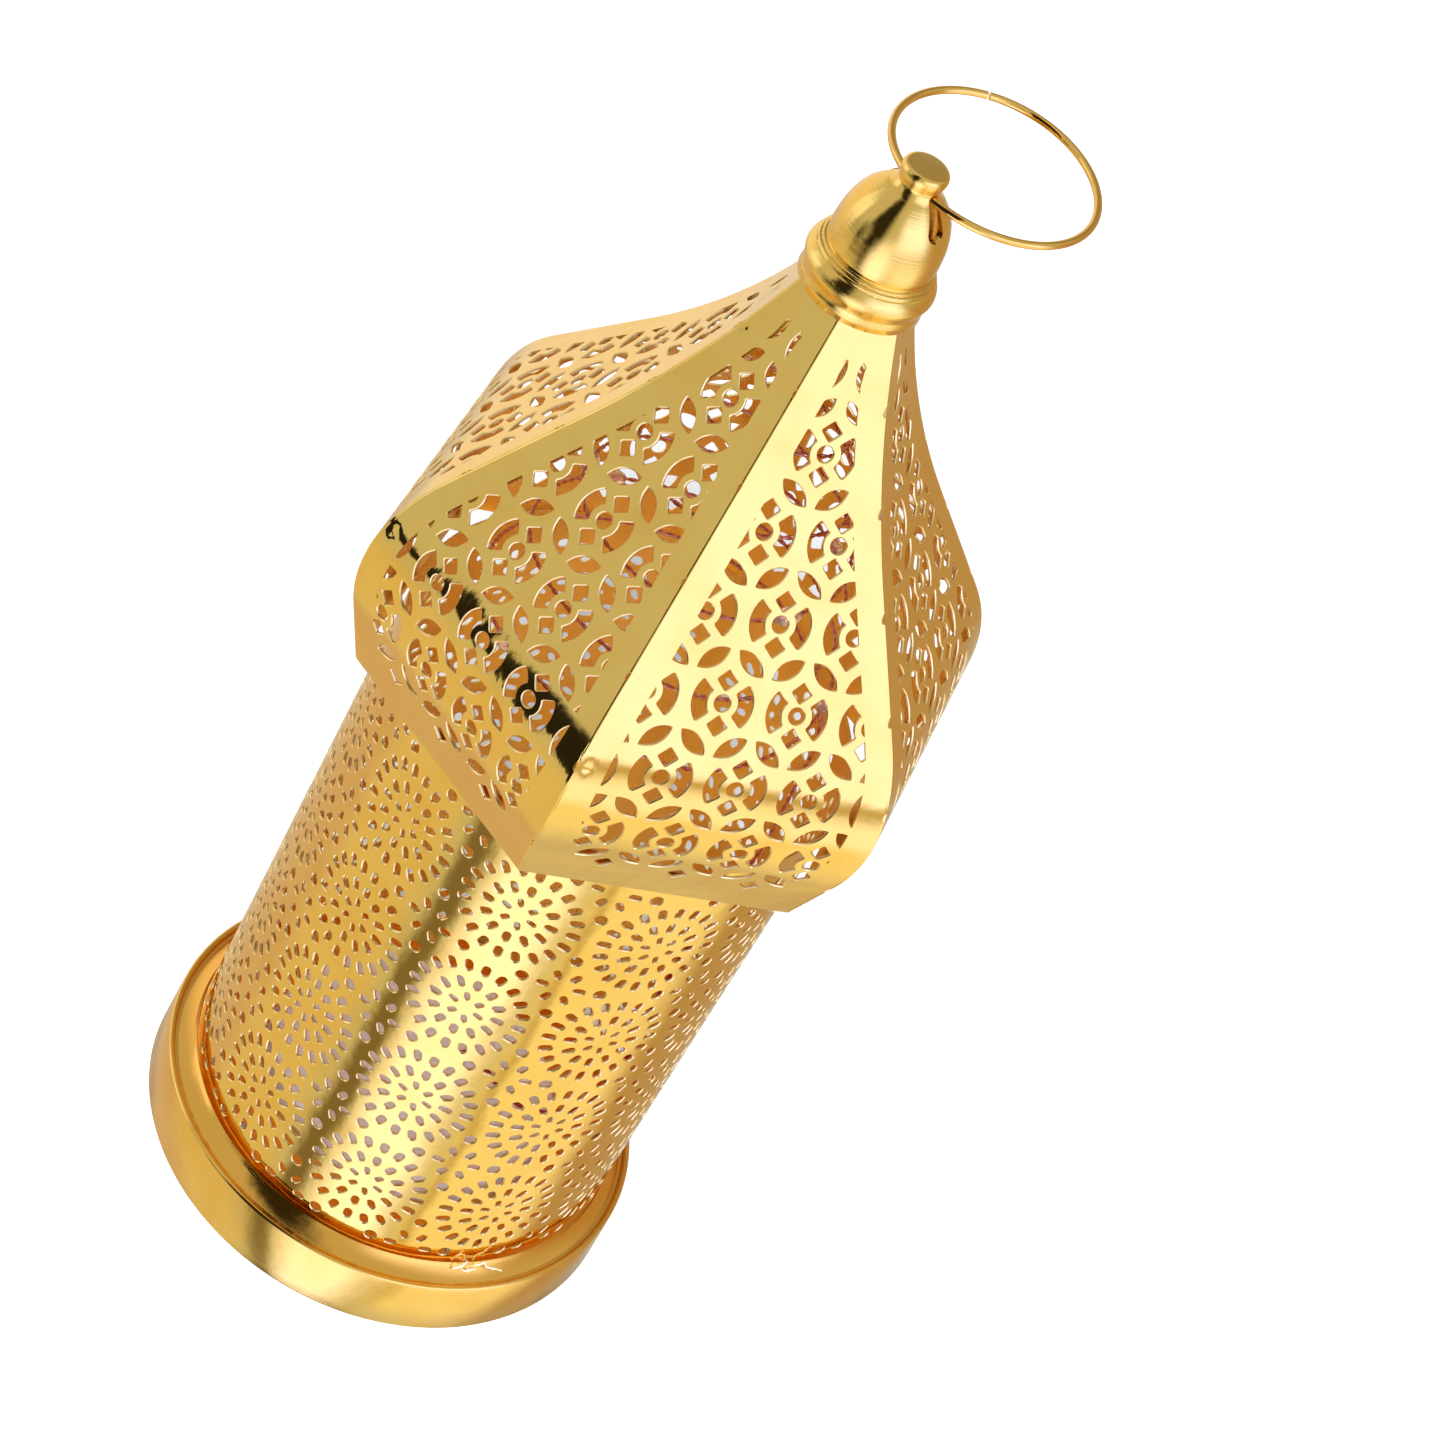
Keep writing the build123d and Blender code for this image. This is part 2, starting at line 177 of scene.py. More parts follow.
def turned(name, outline, material, around=192):
    """Solid of revolution about Z from a closed outline of radius and height."""
    body = bmesh.new()
    rings = []
    for radius, height in outline:
        if radius < 1e-7:
            rings.append([body.verts.new((0, 0, height))])
        else:
            rings.append([body.verts.new((radius * cos(2 * pi * i / around), radius * sin(2 * pi * i / around),
                                          height)) for i in range(around)])
    pairs = list(zip(rings, rings[1:] + rings[:1]))
    for low, high in pairs:
        for i in range(around):
            j = (i + 1) % around
            corners = [low[i % len(low)], low[j % len(low)], high[j % len(high)], high[i % len(high)]]
            kept = [v for k, v in enumerate(corners) if v not in corners[:k]]
            if len(kept) > 2:
                body.faces.new(kept)
    bmesh.ops.recalc_face_normals(body, faces=body.faces)
    mesh = bpy.data.meshes.new(name)
    body.to_mesh(mesh)
    body.free()
    return finish_piece(name, mesh, material)


def finish_piece(name, mesh, material, sharp=35):
    """Link a mesh as a piece, smooth up to a fold angle."""
    mesh.materials.clear()
    mesh.materials.append(material)
    piece = bpy.data.objects.new(name, mesh)
    bpy.context.scene.collection.objects.link(piece)
    if sharp:
        mesh.shade_smooth()
        mesh.set_sharp_from_angle(angle=radians(sharp))
    return piece


pan_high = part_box("base_pan")[1]
pan_sheet = 0.0007
skirt_r = pan_high.x
rim_r = skirt_r - 0.0003
rim_z = 0.0126
deck_z = pan_high.z
tube_low, tube_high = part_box("body_tube")
tube_r = -tube_low.x
hole_r = 0.0304

pan_outline = [(skirt_r - pan_sheet, 0.0), (skirt_r - 0.0001, 0.0), (skirt_r, 0.0002), (rim_r, rim_z)]
pan_outline += arc((rim_r - 0.00065, rim_z), 0.00065, 0, 165, 10)[1:]
pan_outline += [(rim_r - 0.00145, rim_z - 0.00025)]
cove_steps = 14
pan_outline += [(rim_r - 0.00165 - 0.0036 * t, rim_z - 0.0002 + 0.0029 * t ** 2.6)
                for t in [i / cove_steps for i in range(cove_steps + 1)]]
pan_outline += [(tube_r + 0.0001, deck_z - 0.0001), (tube_r - 0.0006, deck_z), (hole_r, deck_z)]
pan_outline += [(hole_r, deck_z - pan_sheet), (tube_r, deck_z - pan_sheet), (rim_r - 0.0040, rim_z + 0.0010)]
pan_outline += [(rim_r - 0.0017, rim_z - 0.0004), (rim_r - pan_sheet, rim_z - 0.0008)]
base_pan = turned("base_pan_spun", pan_outline, spun_gold_material)
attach(base_pan, "lantern")
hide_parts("base_pan")


# ---------------------------------------------------------------- perforated tube
# The body is one strip of plated sheet, punched with bursts of slots and small flowers, rolled into a
# tube and lapped at the back. Each hole was punched from outside, so its outer edge is drawn in a little.
def punch(name, outline, draw_in, through=0.0015):
    """A closed cutter whose mouth widens where it meets the sheet's outside."""
    count = len(outline)
    levels = [(-through, 0.0), (-draw_in, 0.0), (0.7 * draw_in, 1.5 * draw_in)]
    tool = bmesh.new()
    rings = []
    for height, spread in levels:
        ring = []
        for i, (x, y) in enumerate(outline):
            before = Vector(outline[i - 1])
            after = Vector(outline[(i + 1) % count])
            here = Vector((x, y))
            way_in = (here - before).normalized()
            way_out = (after - here).normalized()
            side = Vector((way_in.y + way_out.y, -way_in.x - way_out.x)).normalized()
            lean = max(0.5, side.dot(Vector((way_in.y, -way_in.x))))
            moved = here + side * (spread / lean)
            ring.append(tool.verts.new((moved.x, moved.y, height)))
        rings.append(ring)
    for low, high in zip(rings, rings[1:]):
        for i in range(count):
            tool.faces.new((low[i], low[(i + 1) % count], high[(i + 1) % count], high[i]))
    tool.faces.new(reversed(rings[0]))
    tool.faces.new(rings[-1])
    mesh = bpy.data.meshes.new(name)
    tool.to_mesh(mesh)
    tool.free()
    made = bpy.data.objects.new(name, mesh)
    bpy.context.scene.collection.objects.link(made)
    return made


def slot_outline(length, width, end_steps):
    """Rounded slot along X, anticlockwise."""
    half = (length - width) / 2
    right = [radians(-90 + 180 * i / end_steps) for i in range(end_steps + 1)]
    outline = [(half + width / 2 * cos(a), width / 2 * sin(a)) for a in right]
    return outline + [(-x, -y) for x, y in outline]


def ring_outline(radius, steps):
    """Round hole, anticlockwise."""
    return [(radius * cos(2 * pi * i / steps), radius * sin(2 * pi * i / steps)) for i in range(steps)]


def named_points(tree, points, turn, size, shape):
    """Give points the turn, size and shape number that their punch takes."""
    for name, value, kind in (("turn", turn, "FLOAT"), ("size", size, "FLOAT"), ("shape", shape, "INT")):
        points = put(tree, "GeometryNodeStoreNamedAttribute", {"Geometry": points, "Name": name, "Value": value},
                     data_type=kind, domain="POINT").outputs[0]
    return points


def hole_ring(tree, count, radius, start, size, shape):
    """Points on a circle, each turned to face outwards."""
    loop = put(tree, "GeometryNodeMeshCircle", {"Vertices": count, "Radius": radius}).outputs[0]
    turned_loop = put(tree, "GeometryNodeTransform", {"Geometry": loop, "Rotation": (0, 0, start)}).outputs[0]
    points = put(tree, "GeometryNodeMeshToPoints", {"Mesh": turned_loop}).outputs[0]
    axes = put(tree, "ShaderNodeSeparateXYZ", {0: put(tree, "GeometryNodeInputPosition").outputs[0]}).outputs
    return named_points(tree, points, calc(tree, "ARCTAN2", axes[1], axes[0]), size, shape)


def joined(tree, parts):
    """Join several geometries."""
    node = tree.nodes.new("GeometryNodeJoinGeometry")
    for part in parts:
        tree.links.new(part, node.inputs[0])
    return node.outputs[0]


def lattice(tree, columns, rows, column_pitch, row_pitch, middle_x, low_y, motif):
    """A motif's points repeated on a grid of columns and rows."""
    wide = calc(tree, "MULTIPLY", calc(tree, "SUBTRACT", columns, 1.0), column_pitch)
    tall = calc(tree, "MULTIPLY", calc(tree, "SUBTRACT", rows, 1.0), row_pitch)
    grid = put(tree, "GeometryNodeMeshGrid", {"Size X": wide, "Size Y": tall, "Vertices X": columns,
                                              "Vertices Y": rows})
    lift = calc(tree, "ADD", low_y, calc(tree, "MULTIPLY", tall, 0.5))
    shift = put(tree, "ShaderNodeCombineXYZ", {0: middle_x, 1: lift}).outputs[0]
    moved = put(tree, "GeometryNodeTransform", {"Geometry": grid.outputs[0], "Translation": shift}).outputs[0]
    placed = put(tree, "GeometryNodeInstanceOnPoints", {"Points": moved, "Instance": motif}).outputs[0]
    return put(tree, "GeometryNodeRealizeInstances", {"Geometry": placed}).outputs[0]


def attribute(tree, name, kind="FLOAT"):
    """Read a named attribute."""
    return put(tree, "GeometryNodeInputNamedAttribute", {"Name": name}, data_type=kind).outputs[0]


def punched_with(tree, points, tools):
    """Instance each numbered punch on the points that ask for it, and make them real."""
    placed = []
    facing = put(tree, "ShaderNodeCombineXYZ", {2: attribute(tree, "turn")}).outputs[0]
    for number, tool in enumerate(tools):
        wanted = put(tree, "FunctionNodeCompare", data_type="INT", operation="EQUAL")
        plug(tree, wanted, {2: attribute(tree, "shape", "INT"), 3: number})
        shape = put(tree, "GeometryNodeObjectInfo", {"Object": tool}).outputs["Geometry"]
        placed.append(put(tree, "GeometryNodeInstanceOnPoints",
                          {"Points": points, "Selection": wanted.outputs[0], "Instance": shape,
                           "Rotation": facing, "Scale": attribute(tree, "size")}).outputs[0])
    return put(tree, "GeometryNodeRealizeInstances", {"Geometry": joined(tree, placed)}).outputs[0]


def skin_of(tree, mesh):
    """Mark the sheet's outside with 1, its inside with -1 and cut edges with 0, while it is flat."""
    flat = put(tree, "GeometryNodeSetShadeSmooth", {"Geometry": mesh, "Shade Smooth": False}).outputs[0]
    up = put(tree, "ShaderNodeSeparateXYZ", {0: put(tree, "GeometryNodeInputNormal").outputs[0]}).outputs[2]
    skin = calc(tree, "SUBTRACT", calc(tree, "GREATER_THAN", up, 0.97), calc(tree, "LESS_THAN", up, -0.97))
    return put(tree, "GeometryNodeStoreNamedAttribute", {"Geometry": flat, "Name": "skin", "Value": skin},
               data_type="FLOAT", domain="FACE").outputs[0]


def bent(tree, mesh, place, outward):
    """Move the flat sheet to its bent place and give its skins the true normals of the bend."""
    kept = put(tree, "GeometryNodeStoreNamedAttribute", {"Geometry": mesh, "Name": "outward", "Value": outward},
               data_type="FLOAT_VECTOR", domain="POINT").outputs[0]
    moved = put(tree, "GeometryNodeSetPosition", {"Geometry": kept, "Position": place}).outputs[0]
    skin = attribute(tree, "skin")
    smooth = put(tree, "ShaderNodeVectorMath", {0: attribute(tree, "outward", "FLOAT_VECTOR"), "Scale": skin},
                 operation="SCALE").outputs[0]
    own = put(tree, "GeometryNodeInputNormal").outputs[0]
    chosen = put(tree, "GeometryNodeSwitch", {"Switch": calc(tree, "ABSOLUTE", skin), "False": own, "True": smooth},
                 input_type="VECTOR").outputs[0]
    shaded = put(tree, "GeometryNodeSetMeshNormal", {"Mesh": moved}, mode="FREE", domain="CORNER")
    plug(tree, shaded, {"Custom Normal": chosen})
    return shaded.outputs[0]


def smooth_step(tree, value, low, high):
    """0 below low, 1 above high, eased between."""
    return put(tree, "ShaderNodeMapRange", {"Value": value, "From Min": low, "From Max": high},
               interpolation_type="SMOOTHSTEP").outputs[0]


def punched_tube_tree():
    """Strip, burst and flower holes, roll and lap."""
    tree = bpy.data.node_groups.new("punched_tube", "GeometryNodeTree")
    sockets(tree, "INPUT", [
        ("Geometry", "Geometry", None), ("Radius", "Float", 0.04), ("Sheet", "Float", 0.0005), ("Foot", "Float", 0.0),
        ("Height", "Float", 0.1), ("Lap", "Float", 0.004), ("Turn", "Float", 0.0), ("Columns", "Int", 10),
        ("Rows", "Int", 4), ("Column Pitch", "Float", 0.02), ("Row Pitch", "Float", 0.02),
        ("First Row", "Float", 0.02),
        ("Band Low", "Float", 0.0), ("Band High", "Float", 0.1), ("Slot Punch", "Object", None),
        ("Round Punch", "Object", None), ("Material", "Material", None)])
    sockets(tree, "OUTPUT", [("Geometry", "Geometry", None)])
    given = put(tree, "NodeGroupInput").outputs
    half_turn = calc(tree, "MULTIPLY", given["Radius"], pi)
    width = calc(tree, "ADD", calc(tree, "MULTIPLY", half_turn, 2.0), given["Lap"])
    size = put(tree, "ShaderNodeCombineXYZ", {0: width, 1: given["Height"], 2: given["Sheet"]}).outputs[0]
    strip = put(tree, "GeometryNodeMeshCube", {"Size": size, "Vertices X": 161, "Vertices Y": 2, "Vertices Z": 2})
    rise = calc(tree, "MULTIPLY", given["Height"], 0.5)
    sink = calc(tree, "MULTIPLY", given["Sheet"], -0.5)
    lower = put(tree, "ShaderNodeCombineXYZ", {1: rise, 2: sink}).outputs[0]
    strip = put(tree, "GeometryNodeTransform", {"Geometry": strip.outputs[0], "Translation": lower}).outputs[0]

    burst = joined(tree, [hole_ring(tree, 6, 0.0029, radians(-15), 0.74, 0),
                          hole_ring(tree, 12, 0.0064, 0.0, 0.96, 0),
                          hole_ring(tree, 20, 0.0107, 0.0, 1.03, 0)])
    flower = joined(tree, [hole_ring(tree, 6, 0.0036, 0.0, 0.90, 0), hole_ring(tree, 4, 0.0077, 0.0, 1.0, 1)])
    between_columns = calc(tree, "SUBTRACT", given["Columns"], 1.0)
    between_rows = calc(tree, "ADD", given["Rows"], 1.0)
    below = calc(tree, "SUBTRACT", given["First Row"], calc(tree, "MULTIPLY", given["Row Pitch"], 0.5))
    pitches = (given["Column Pitch"], given["Row Pitch"])
    holes = joined(tree, [
        lattice(tree, given["Columns"], given["Rows"], *pitches, 0.0, given["First Row"], burst),
        lattice(tree, between_columns, between_rows, *pitches, 0.0, below, flower)])
    height = put(tree, "ShaderNodeSeparateXYZ", {0: put(tree, "GeometryNodeInputPosition").outputs[0]}).outputs[1]
    outside = calc(tree, "ADD", calc(tree, "LESS_THAN", height, given["Band Low"]),
                   calc(tree, "GREATER_THAN", height, given["Band High"]))
    holes = put(tree, "GeometryNodeDeleteGeometry", {"Geometry": holes, "Selection": outside}).outputs[0]
    cutters = punched_with(tree, holes, [given["Slot Punch"], given["Round Punch"]])
    cut = put(tree, "GeometryNodeMeshBoolean", {"Mesh 1": strip, "Mesh 2": cutters},
              operation="DIFFERENCE", solver="MANIFOLD").outputs[0]
    skinned = skin_of(tree, cut)

    axes = put(tree, "ShaderNodeSeparateXYZ", {0: put(tree, "GeometryNodeInputPosition").outputs[0]}).outputs
    angle = calc(tree, "ADD", calc(tree, "DIVIDE", axes[0], given["Radius"]), given["Turn"])
    edge = calc(tree, "SUBTRACT", half_turn, calc(tree, "MULTIPLY", given["Lap"], 0.5))
    lift = calc(tree, "MULTIPLY", smooth_step(tree, axes[0], calc(tree, "SUBTRACT", edge, 0.0030), edge),
                calc(tree, "MULTIPLY", given["Sheet"], 1.1))
    radius = calc(tree, "ADD", calc(tree, "ADD", given["Radius"], axes[2]), lift)
    sine = calc(tree, "SINE", angle)
    minus_cosine = calc(tree, "MULTIPLY", calc(tree, "COSINE", angle), -1.0)
    place = put(tree, "ShaderNodeCombineXYZ", {0: calc(tree, "MULTIPLY", radius, sine),
                                               1: calc(tree, "MULTIPLY", radius, minus_cosine),
                                               2: calc(tree, "ADD", axes[1], given["Foot"])}).outputs[0]
    outward = put(tree, "ShaderNodeCombineXYZ", {0: sine, 1: minus_cosine}).outputs[0]
    rolled = bent(tree, skinned, place, outward)
    plated = put(tree, "GeometryNodeSetMaterial", {"Geometry": rolled, "Material": given["Material"]}).outputs[0]
    real = put(tree, "GeometryNodeRealizeInstances", {"Geometry": plated}).outputs[0]
    plug(tree, put(tree, "NodeGroupOutput"), {0: real})
    return tree


def grown(name, tree, values):
    """Run a tree on an empty mesh and return its result as a plain mesh."""
    host = bpy.data.objects.new(name, bpy.data.meshes.new(name))
    bpy.context.scene.collection.objects.link(host)
    modifier = host.modifiers.new("tree", "NODES")
    modifier.node_group = tree
    for item in tree.interface.items_tree:
        if item.in_out == "INPUT" and item.name in values:
            modifier[item.identifier] = values[item.name]
    ready = host.evaluated_get(bpy.context.evaluated_depsgraph_get())
    mesh = bpy.data.meshes.new_from_object(ready)
    host.modifiers.remove(modifier)
    bpy.data.objects.remove(host)
    return mesh


fresh_plate, tarnished_plate = (0.98, 0.68, 0.18, 1), (0.95, 0.62, 0.14, 1)
# Painted colours: a deeper orange inside as painted reflection, and a paler cut edge as a painted highlight.
painted_inner_reflection, painted_edge_highlight = (0.87, 0.44, 0.055, 1), (1.0, 0.78, 0.32, 1)


def rolled_gold():
    """Plating over rolled sheet: slow waves between the holes and fine rolling lines. The skin attribute is 1
    outside,
    -1 inside, which is painted a deeper orange as painted reflection, and 0 on cut edges, painted paler as a painted
    highlight."""
    made, tree, shader = new_material("rolled_gold")
    marks = put(tree, "ShaderNodeGroup", node_tree=hand_marks)
    plug(tree, marks, {"Wave": 0.3, "Grain": 0.6, "Haze": 0.04, "Polish": 0.035})
    skin = put(tree, "ShaderNodeAttribute", attribute_name="skin").outputs["Fac"]
    inside = calc(tree, "LESS_THAN", skin, -0.5)
    edge = calc(tree, "LESS_THAN", calc(tree, "ABSOLUTE", skin), 0.5)
    tint = blend(tree, marks.outputs["Tarnish"], fresh_plate, tarnished_plate)
    # The inside is painted a deeper orange and made partly diffuse: painted reflection of the gold facing it.
    tint = blend(tree, inside, tint, painted_inner_reflection)
    # Cut edges are painted paler as a painted highlight, and made rougher.
    tint = blend(tree, edge, tint, painted_edge_highlight)
    rough = calc(tree, "ADD", marks.outputs["Roughness"], calc(tree, "MULTIPLY", edge, 0.25))
    rough = calc(tree, "ADD", rough, calc(tree, "MULTIPLY", inside, 0.12))
    metal = calc(tree, "SUBTRACT", 1.0, calc(tree, "MULTIPLY", inside, 0.55))
    plug(tree, shader, {"Base Color": tint, "Metallic": metal, "Roughness": rough})
    place = put(tree, "ShaderNodeTexCoord").outputs["Object"]
    drawn = put(tree, "ShaderNodeMapping", {"Vector": place, "Scale": (900.0, 900.0, 30.0)}).outputs[0]
    lines = noise(tree, drawn, 1.0, 3.0)
    bump(tree, shader, calc(tree, "ADD", marks.outputs["Height"], calc(tree, "MULTIPLY", lines, 0.004)), 0.0011)
    return made


rolled_gold_material = rolled_gold()
sheet = 0.0005
draw_in = 0.00020
slot_punch = punch("slot_punch", slot_outline(0.00262, 0.00146, 5), draw_in)
round_punch = punch("round_punch", ring_outline(0.00118, 14), draw_in)
burst_rows = 4
row_pitch = 0.0275
first_row = 0.0324 - tube_low.z
tube_mesh = grown("body_tube", punched_tube_tree(), {
    "Radius": tube_r, "Sheet": sheet, "Foot": tube_low.z, "Height": tube_high.z - tube_low.z, "Lap": 0.0045,
    "Turn": radians(-12.9), "Columns": 10, "Rows": burst_rows, "Column Pitch": 0.02745, "Row Pitch": row_pitch,
    "First Row": first_row, "Band Low": first_row - 0.0152, "Band High": first_row + 3 * row_pitch + 0.0152,
    "Slot Punch": slot_punch, "Round Punch": round_punch, "Material": rolled_gold_material})
body_tube = finish_piece("body_tube_punched", tube_mesh, rolled_gold_material, sharp=None)
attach(body_tube, "lantern")
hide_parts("body_tube")


# ---------------------------------------------------------------- shade panels
# Six kite-shaped sheets, punched with rosettes and leaves while flat, bent twice about level lines and
# closed edge to edge. One edge of each lies over the next one's folded strip, held by small pressed spots.
def rounded(points, radii, step):
    """A line of straight runs with its corners rounded, as close points."""
    corners = [Vector(p) for p in points]
    line = [corners[0]]
    for before, corner, after, radius in zip(corners, corners[1:], corners[2:], radii):
        way_in = (corner - before).normalized()
        way_out = (after - corner).normalized()
        half = acos(max(-1, min(1, way_in.dot(way_out)))) / 2
        start = corner - way_in * radius * tan(half)
        middle = corner + (way_out - way_in).normalized() * radius / cos(half)
        spoke = start - middle
        turn = 1 if way_in.cross(way_out) > 0 else -1
        count = max(2, round(radius * 2 * half / step))
        for i in range(count + 1):
            line.append(middle + Matrix.Rotation(turn * 2 * half * i / count, 2) @ spoke)
    line.append(corners[-1])
    return line


def flat_prisms(name, outlines, low, high):
    """Closed upright prisms from flat outlines, anticlockwise."""
    body = bmesh.new()
    for outline in outlines:
        foot = [body.verts.new((x, y, low)) for x, y in outline]
        top = [body.verts.new((x, y, high)) for x, y in outline]
        body.faces.new(reversed(foot))
        body.faces.new(top)
        for i in range(len(outline)):
            j = (i + 1) % len(outline)
            body.faces.new((foot[i], foot[j], top[j], top[i]))
    mesh = bpy.data.meshes.new(name)
    body.to_mesh(mesh)
    body.free()
    made = bpy.data.objects.new(name, mesh)
    bpy.context.scene.collection.objects.link(made)
    return made


def flat_blank(name, rows, edges, top, foot, columns):
    """Closed flat sheet with a vertex at each row and column; columns go from 0 to 1 between the edges."""
    body = bmesh.new()
    layers = []
    for height in (foot, top):
        layers.append([[body.verts.new((column(*edges(down)), -down, height)) for column in columns]
                       for down in rows])
    low, high = layers
    for r in range(len(rows) - 1):
        for c in range(len(columns) - 1):
            body.faces.new((high[r][c], high[r + 1][c], high[r + 1][c + 1], high[r][c + 1]))
            body.faces.new((low[r][c], low[r][c + 1], low[r + 1][c + 1], low[r + 1][c]))
        body.faces.new((low[r][0], low[r + 1][0], high[r + 1][0], high[r][0]))
        body.faces.new((low[r + 1][-1], low[r][-1], high[r][-1], high[r + 1][-1]))
    for c in range(len(columns) - 1):
        body.faces.new((low[0][c + 1], low[0][c], high[0][c], high[0][c + 1]))
        body.faces.new((low[-1][c], low[-1][c + 1], high[-1][c + 1], high[-1][c]))
    mesh = bpy.data.meshes.new(name)
    body.to_mesh(mesh)
    body.free()
    made = bpy.data.objects.new(name, mesh)
    bpy.context.scene.collection.objects.link(made)
    return made


panel_low, panel_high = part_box("shade_panel_1")
foot_z = panel_low.z
face_share = cos(radians(30))
shade_corner = [(0.0094, panel_high.z), (0.02105, 0.2155), (0.0643, 0.1628), (0.0524, foot_z)]
bend_line = rounded([(r * face_share, z) for r, z in shade_corner], [0.160, 0.036], 0.0015)
reached = [0.0]
for before, after in zip(bend_line, bend_line[1:]):
    reached.append(reached[-1] + (after - before).length)
panel_length = reached[-1]


def half_at(down):
    """Half the face's width at a distance down the bent line."""
    for (s1, p1), (s2, p2) in zip(zip(reached, bend_line), zip(reached[1:], bend_line[1:])):
        if down <= s2:
            return (p1.x + (p2.x - p1.x) * (down - s1) / (s2 - s1)) * tan(radians(30))
    return bend_line[-1].x * tan(radians(30))


spot_first = 0.0175
spot_pitch = 0.0176
spot_count = 5
spots = [spot_first + k * spot_pitch for k in range(spot_count)]


def make_sheet_relief():
    """How far the flat sheet's skin stands off its plane: turned-down edges and pressed spots."""
    group = bpy.data.node_groups.new("sheet_relief", "GeometryNodeTree")
    sockets(group, "INPUT", [("Across", "Float", 0.0), ("Down", "Float", 0.0), ("Half", "Float", 0.05),
                             ("Spot Pitch", "Float", 0.0176), ("First Spot", "Float", 0.0175),
                             ("Last Spot", "Float", 0.09), ("Turn Down", "Float", 0.00007)])
    sockets(group, "OUTPUT", [("Height", "Float", None)])
    given = put(group, "NodeGroupInput").outputs
    left = calc(group, "ADD", given["Half"], given["Across"])
    right = calc(group, "SUBTRACT", given["Half"], given["Across"])
    near = calc(group, "MINIMUM", left, right)
    lip = calc(group, "SUBTRACT", 1.0, smooth_step(group, near, 0.0, 0.0006))
    lip = calc(group, "MULTIPLY", lip, given["Turn Down"])
    along = calc(group, "PINGPONG", calc(group, "SUBTRACT", given["Down"], given["First Spot"]),
                 calc(group, "MULTIPLY", given["Spot Pitch"], 0.5))
    beside = calc(group, "SUBTRACT", left, 0.0019)
    reach = calc(group, "ADD", calc(group, "MULTIPLY", along, along), calc(group, "MULTIPLY", beside, beside))
    press = calc(group, "EXPONENT", calc(group, "DIVIDE", reach, -0.7e-6))
    inside = calc(group, "LESS_THAN", given["Down"], given["Last Spot"])
    inside = calc(group, "MULTIPLY", inside, calc(group, "GREATER_THAN", given["Down"], 0.010))
    press = calc(group, "MULTIPLY", calc(group, "MULTIPLY", press, inside), 0.00014)
    height = calc(group, "MULTIPLY", calc(group, "ADD", lip, press), -1.0)
    plug(group, put(group, "NodeGroupOutput"), {"Height": height})
    return group


sheet_relief = make_sheet_relief()


def make_press_brake():
    """Bend a flat sheet along the face's line, and turn it round the lantern's axis."""
    tree = bpy.data.node_groups.new("press_brake", "GeometryNodeTree")
    sockets(tree, "INPUT", [("Geometry", "Geometry", None), ("Line", "Object", None), ("Turn", "Float", 0.0),
                            ("Edge Turn Down", "Float", 0.00007), ("Last Spot", "Float", 0.09)])
    sockets(tree, "OUTPUT", [("Geometry", "Geometry", None)])
    given = put(tree, "NodeGroupInput").outputs
    line = put(tree, "GeometryNodeObjectInfo", {"Object": given["Line"]}).outputs["Geometry"]
    axes = put(tree, "ShaderNodeSeparateXYZ", {0: put(tree, "GeometryNodeInputPosition").outputs[0]}).outputs
    down = calc(tree, "MULTIPLY", axes[1], -1.0)
    sample = put(tree, "GeometryNodeSampleCurve", {"Curves": line, "Length": down}, mode="LENGTH")
    on_line = put(tree, "ShaderNodeSeparateXYZ", {0: sample.outputs["Position"]}).outputs
    along = put(tree, "ShaderNodeSeparateXYZ", {0: sample.outputs["Tangent"]}).outputs
    half = calc(tree, "MULTIPLY", on_line[0], tan(radians(30)))
    small = 0.00005
    heights = []
    for step_x, step_y in ((0.0, 0.0), (small, 0.0), (0.0, small)):
        relief = put(tree, "GeometryNodeGroup", node_tree=sheet_relief)
        plug(tree, relief, {"Across": calc(tree, "ADD", axes[0], step_x), "Down": calc(tree, "ADD", down, step_y),
                            "Half": half, "Turn Down": given["Edge Turn Down"], "Last Spot": given["Last Spot"]})
        heights.append(relief.outputs[0])
    slope_x = calc(tree, "DIVIDE", calc(tree, "SUBTRACT", heights[0], heights[1]), small)
    slope_down = calc(tree, "DIVIDE", calc(tree, "SUBTRACT", heights[0], heights[2]), small)
    out_r = calc(tree, "MULTIPLY", along[2], -1.0)
    out_z = along[0]
    off = calc(tree, "ADD", axes[2], heights[0])
    place = put(tree, "ShaderNodeCombineXYZ", {
        0: calc(tree, "ADD", on_line[0], calc(tree, "MULTIPLY", out_r, off)), 1: axes[0],
        2: calc(tree, "ADD", on_line[2], calc(tree, "MULTIPLY", out_z, off))}).outputs[0]
    outward = put(tree, "ShaderNodeCombineXYZ", {
        0: calc(tree, "ADD", out_r, calc(tree, "MULTIPLY", along[0], slope_down)), 1: slope_x,
        2: calc(tree, "ADD", out_z, calc(tree, "MULTIPLY", along[2], slope_down))}).outputs[0]
    outward = put(tree, "ShaderNodeVectorMath", {0: outward}, operation="NORMALIZE").outputs[0]
    spin = put(tree, "ShaderNodeCombineXYZ", {2: given["Turn"]}).outputs[0]
    place = put(tree, "ShaderNodeVectorRotate", {"Vector": place, "Rotation": spin},
                rotation_type="EULER_XYZ").outputs[0]
    outward = put(tree, "ShaderNodeVectorRotate", {"Vector": outward, "Rotation": spin},
                  rotation_type="EULER_XYZ").outputs[0]
    plug(tree, put(tree, "NodeGroupOutput"), {0: bent(tree, given["Geometry"], place, outward)})
    return tree


press_brake = make_press_brake()


def lone_hole(tree, x, y, turn, size, shape):
    """One punched hole at a place of its own."""
    points = put(tree, "GeometryNodePoints", {"Count": 1, "Position": (x, y, 0)}).outputs[0]
    return named_points(tree, points, turn, size, shape)


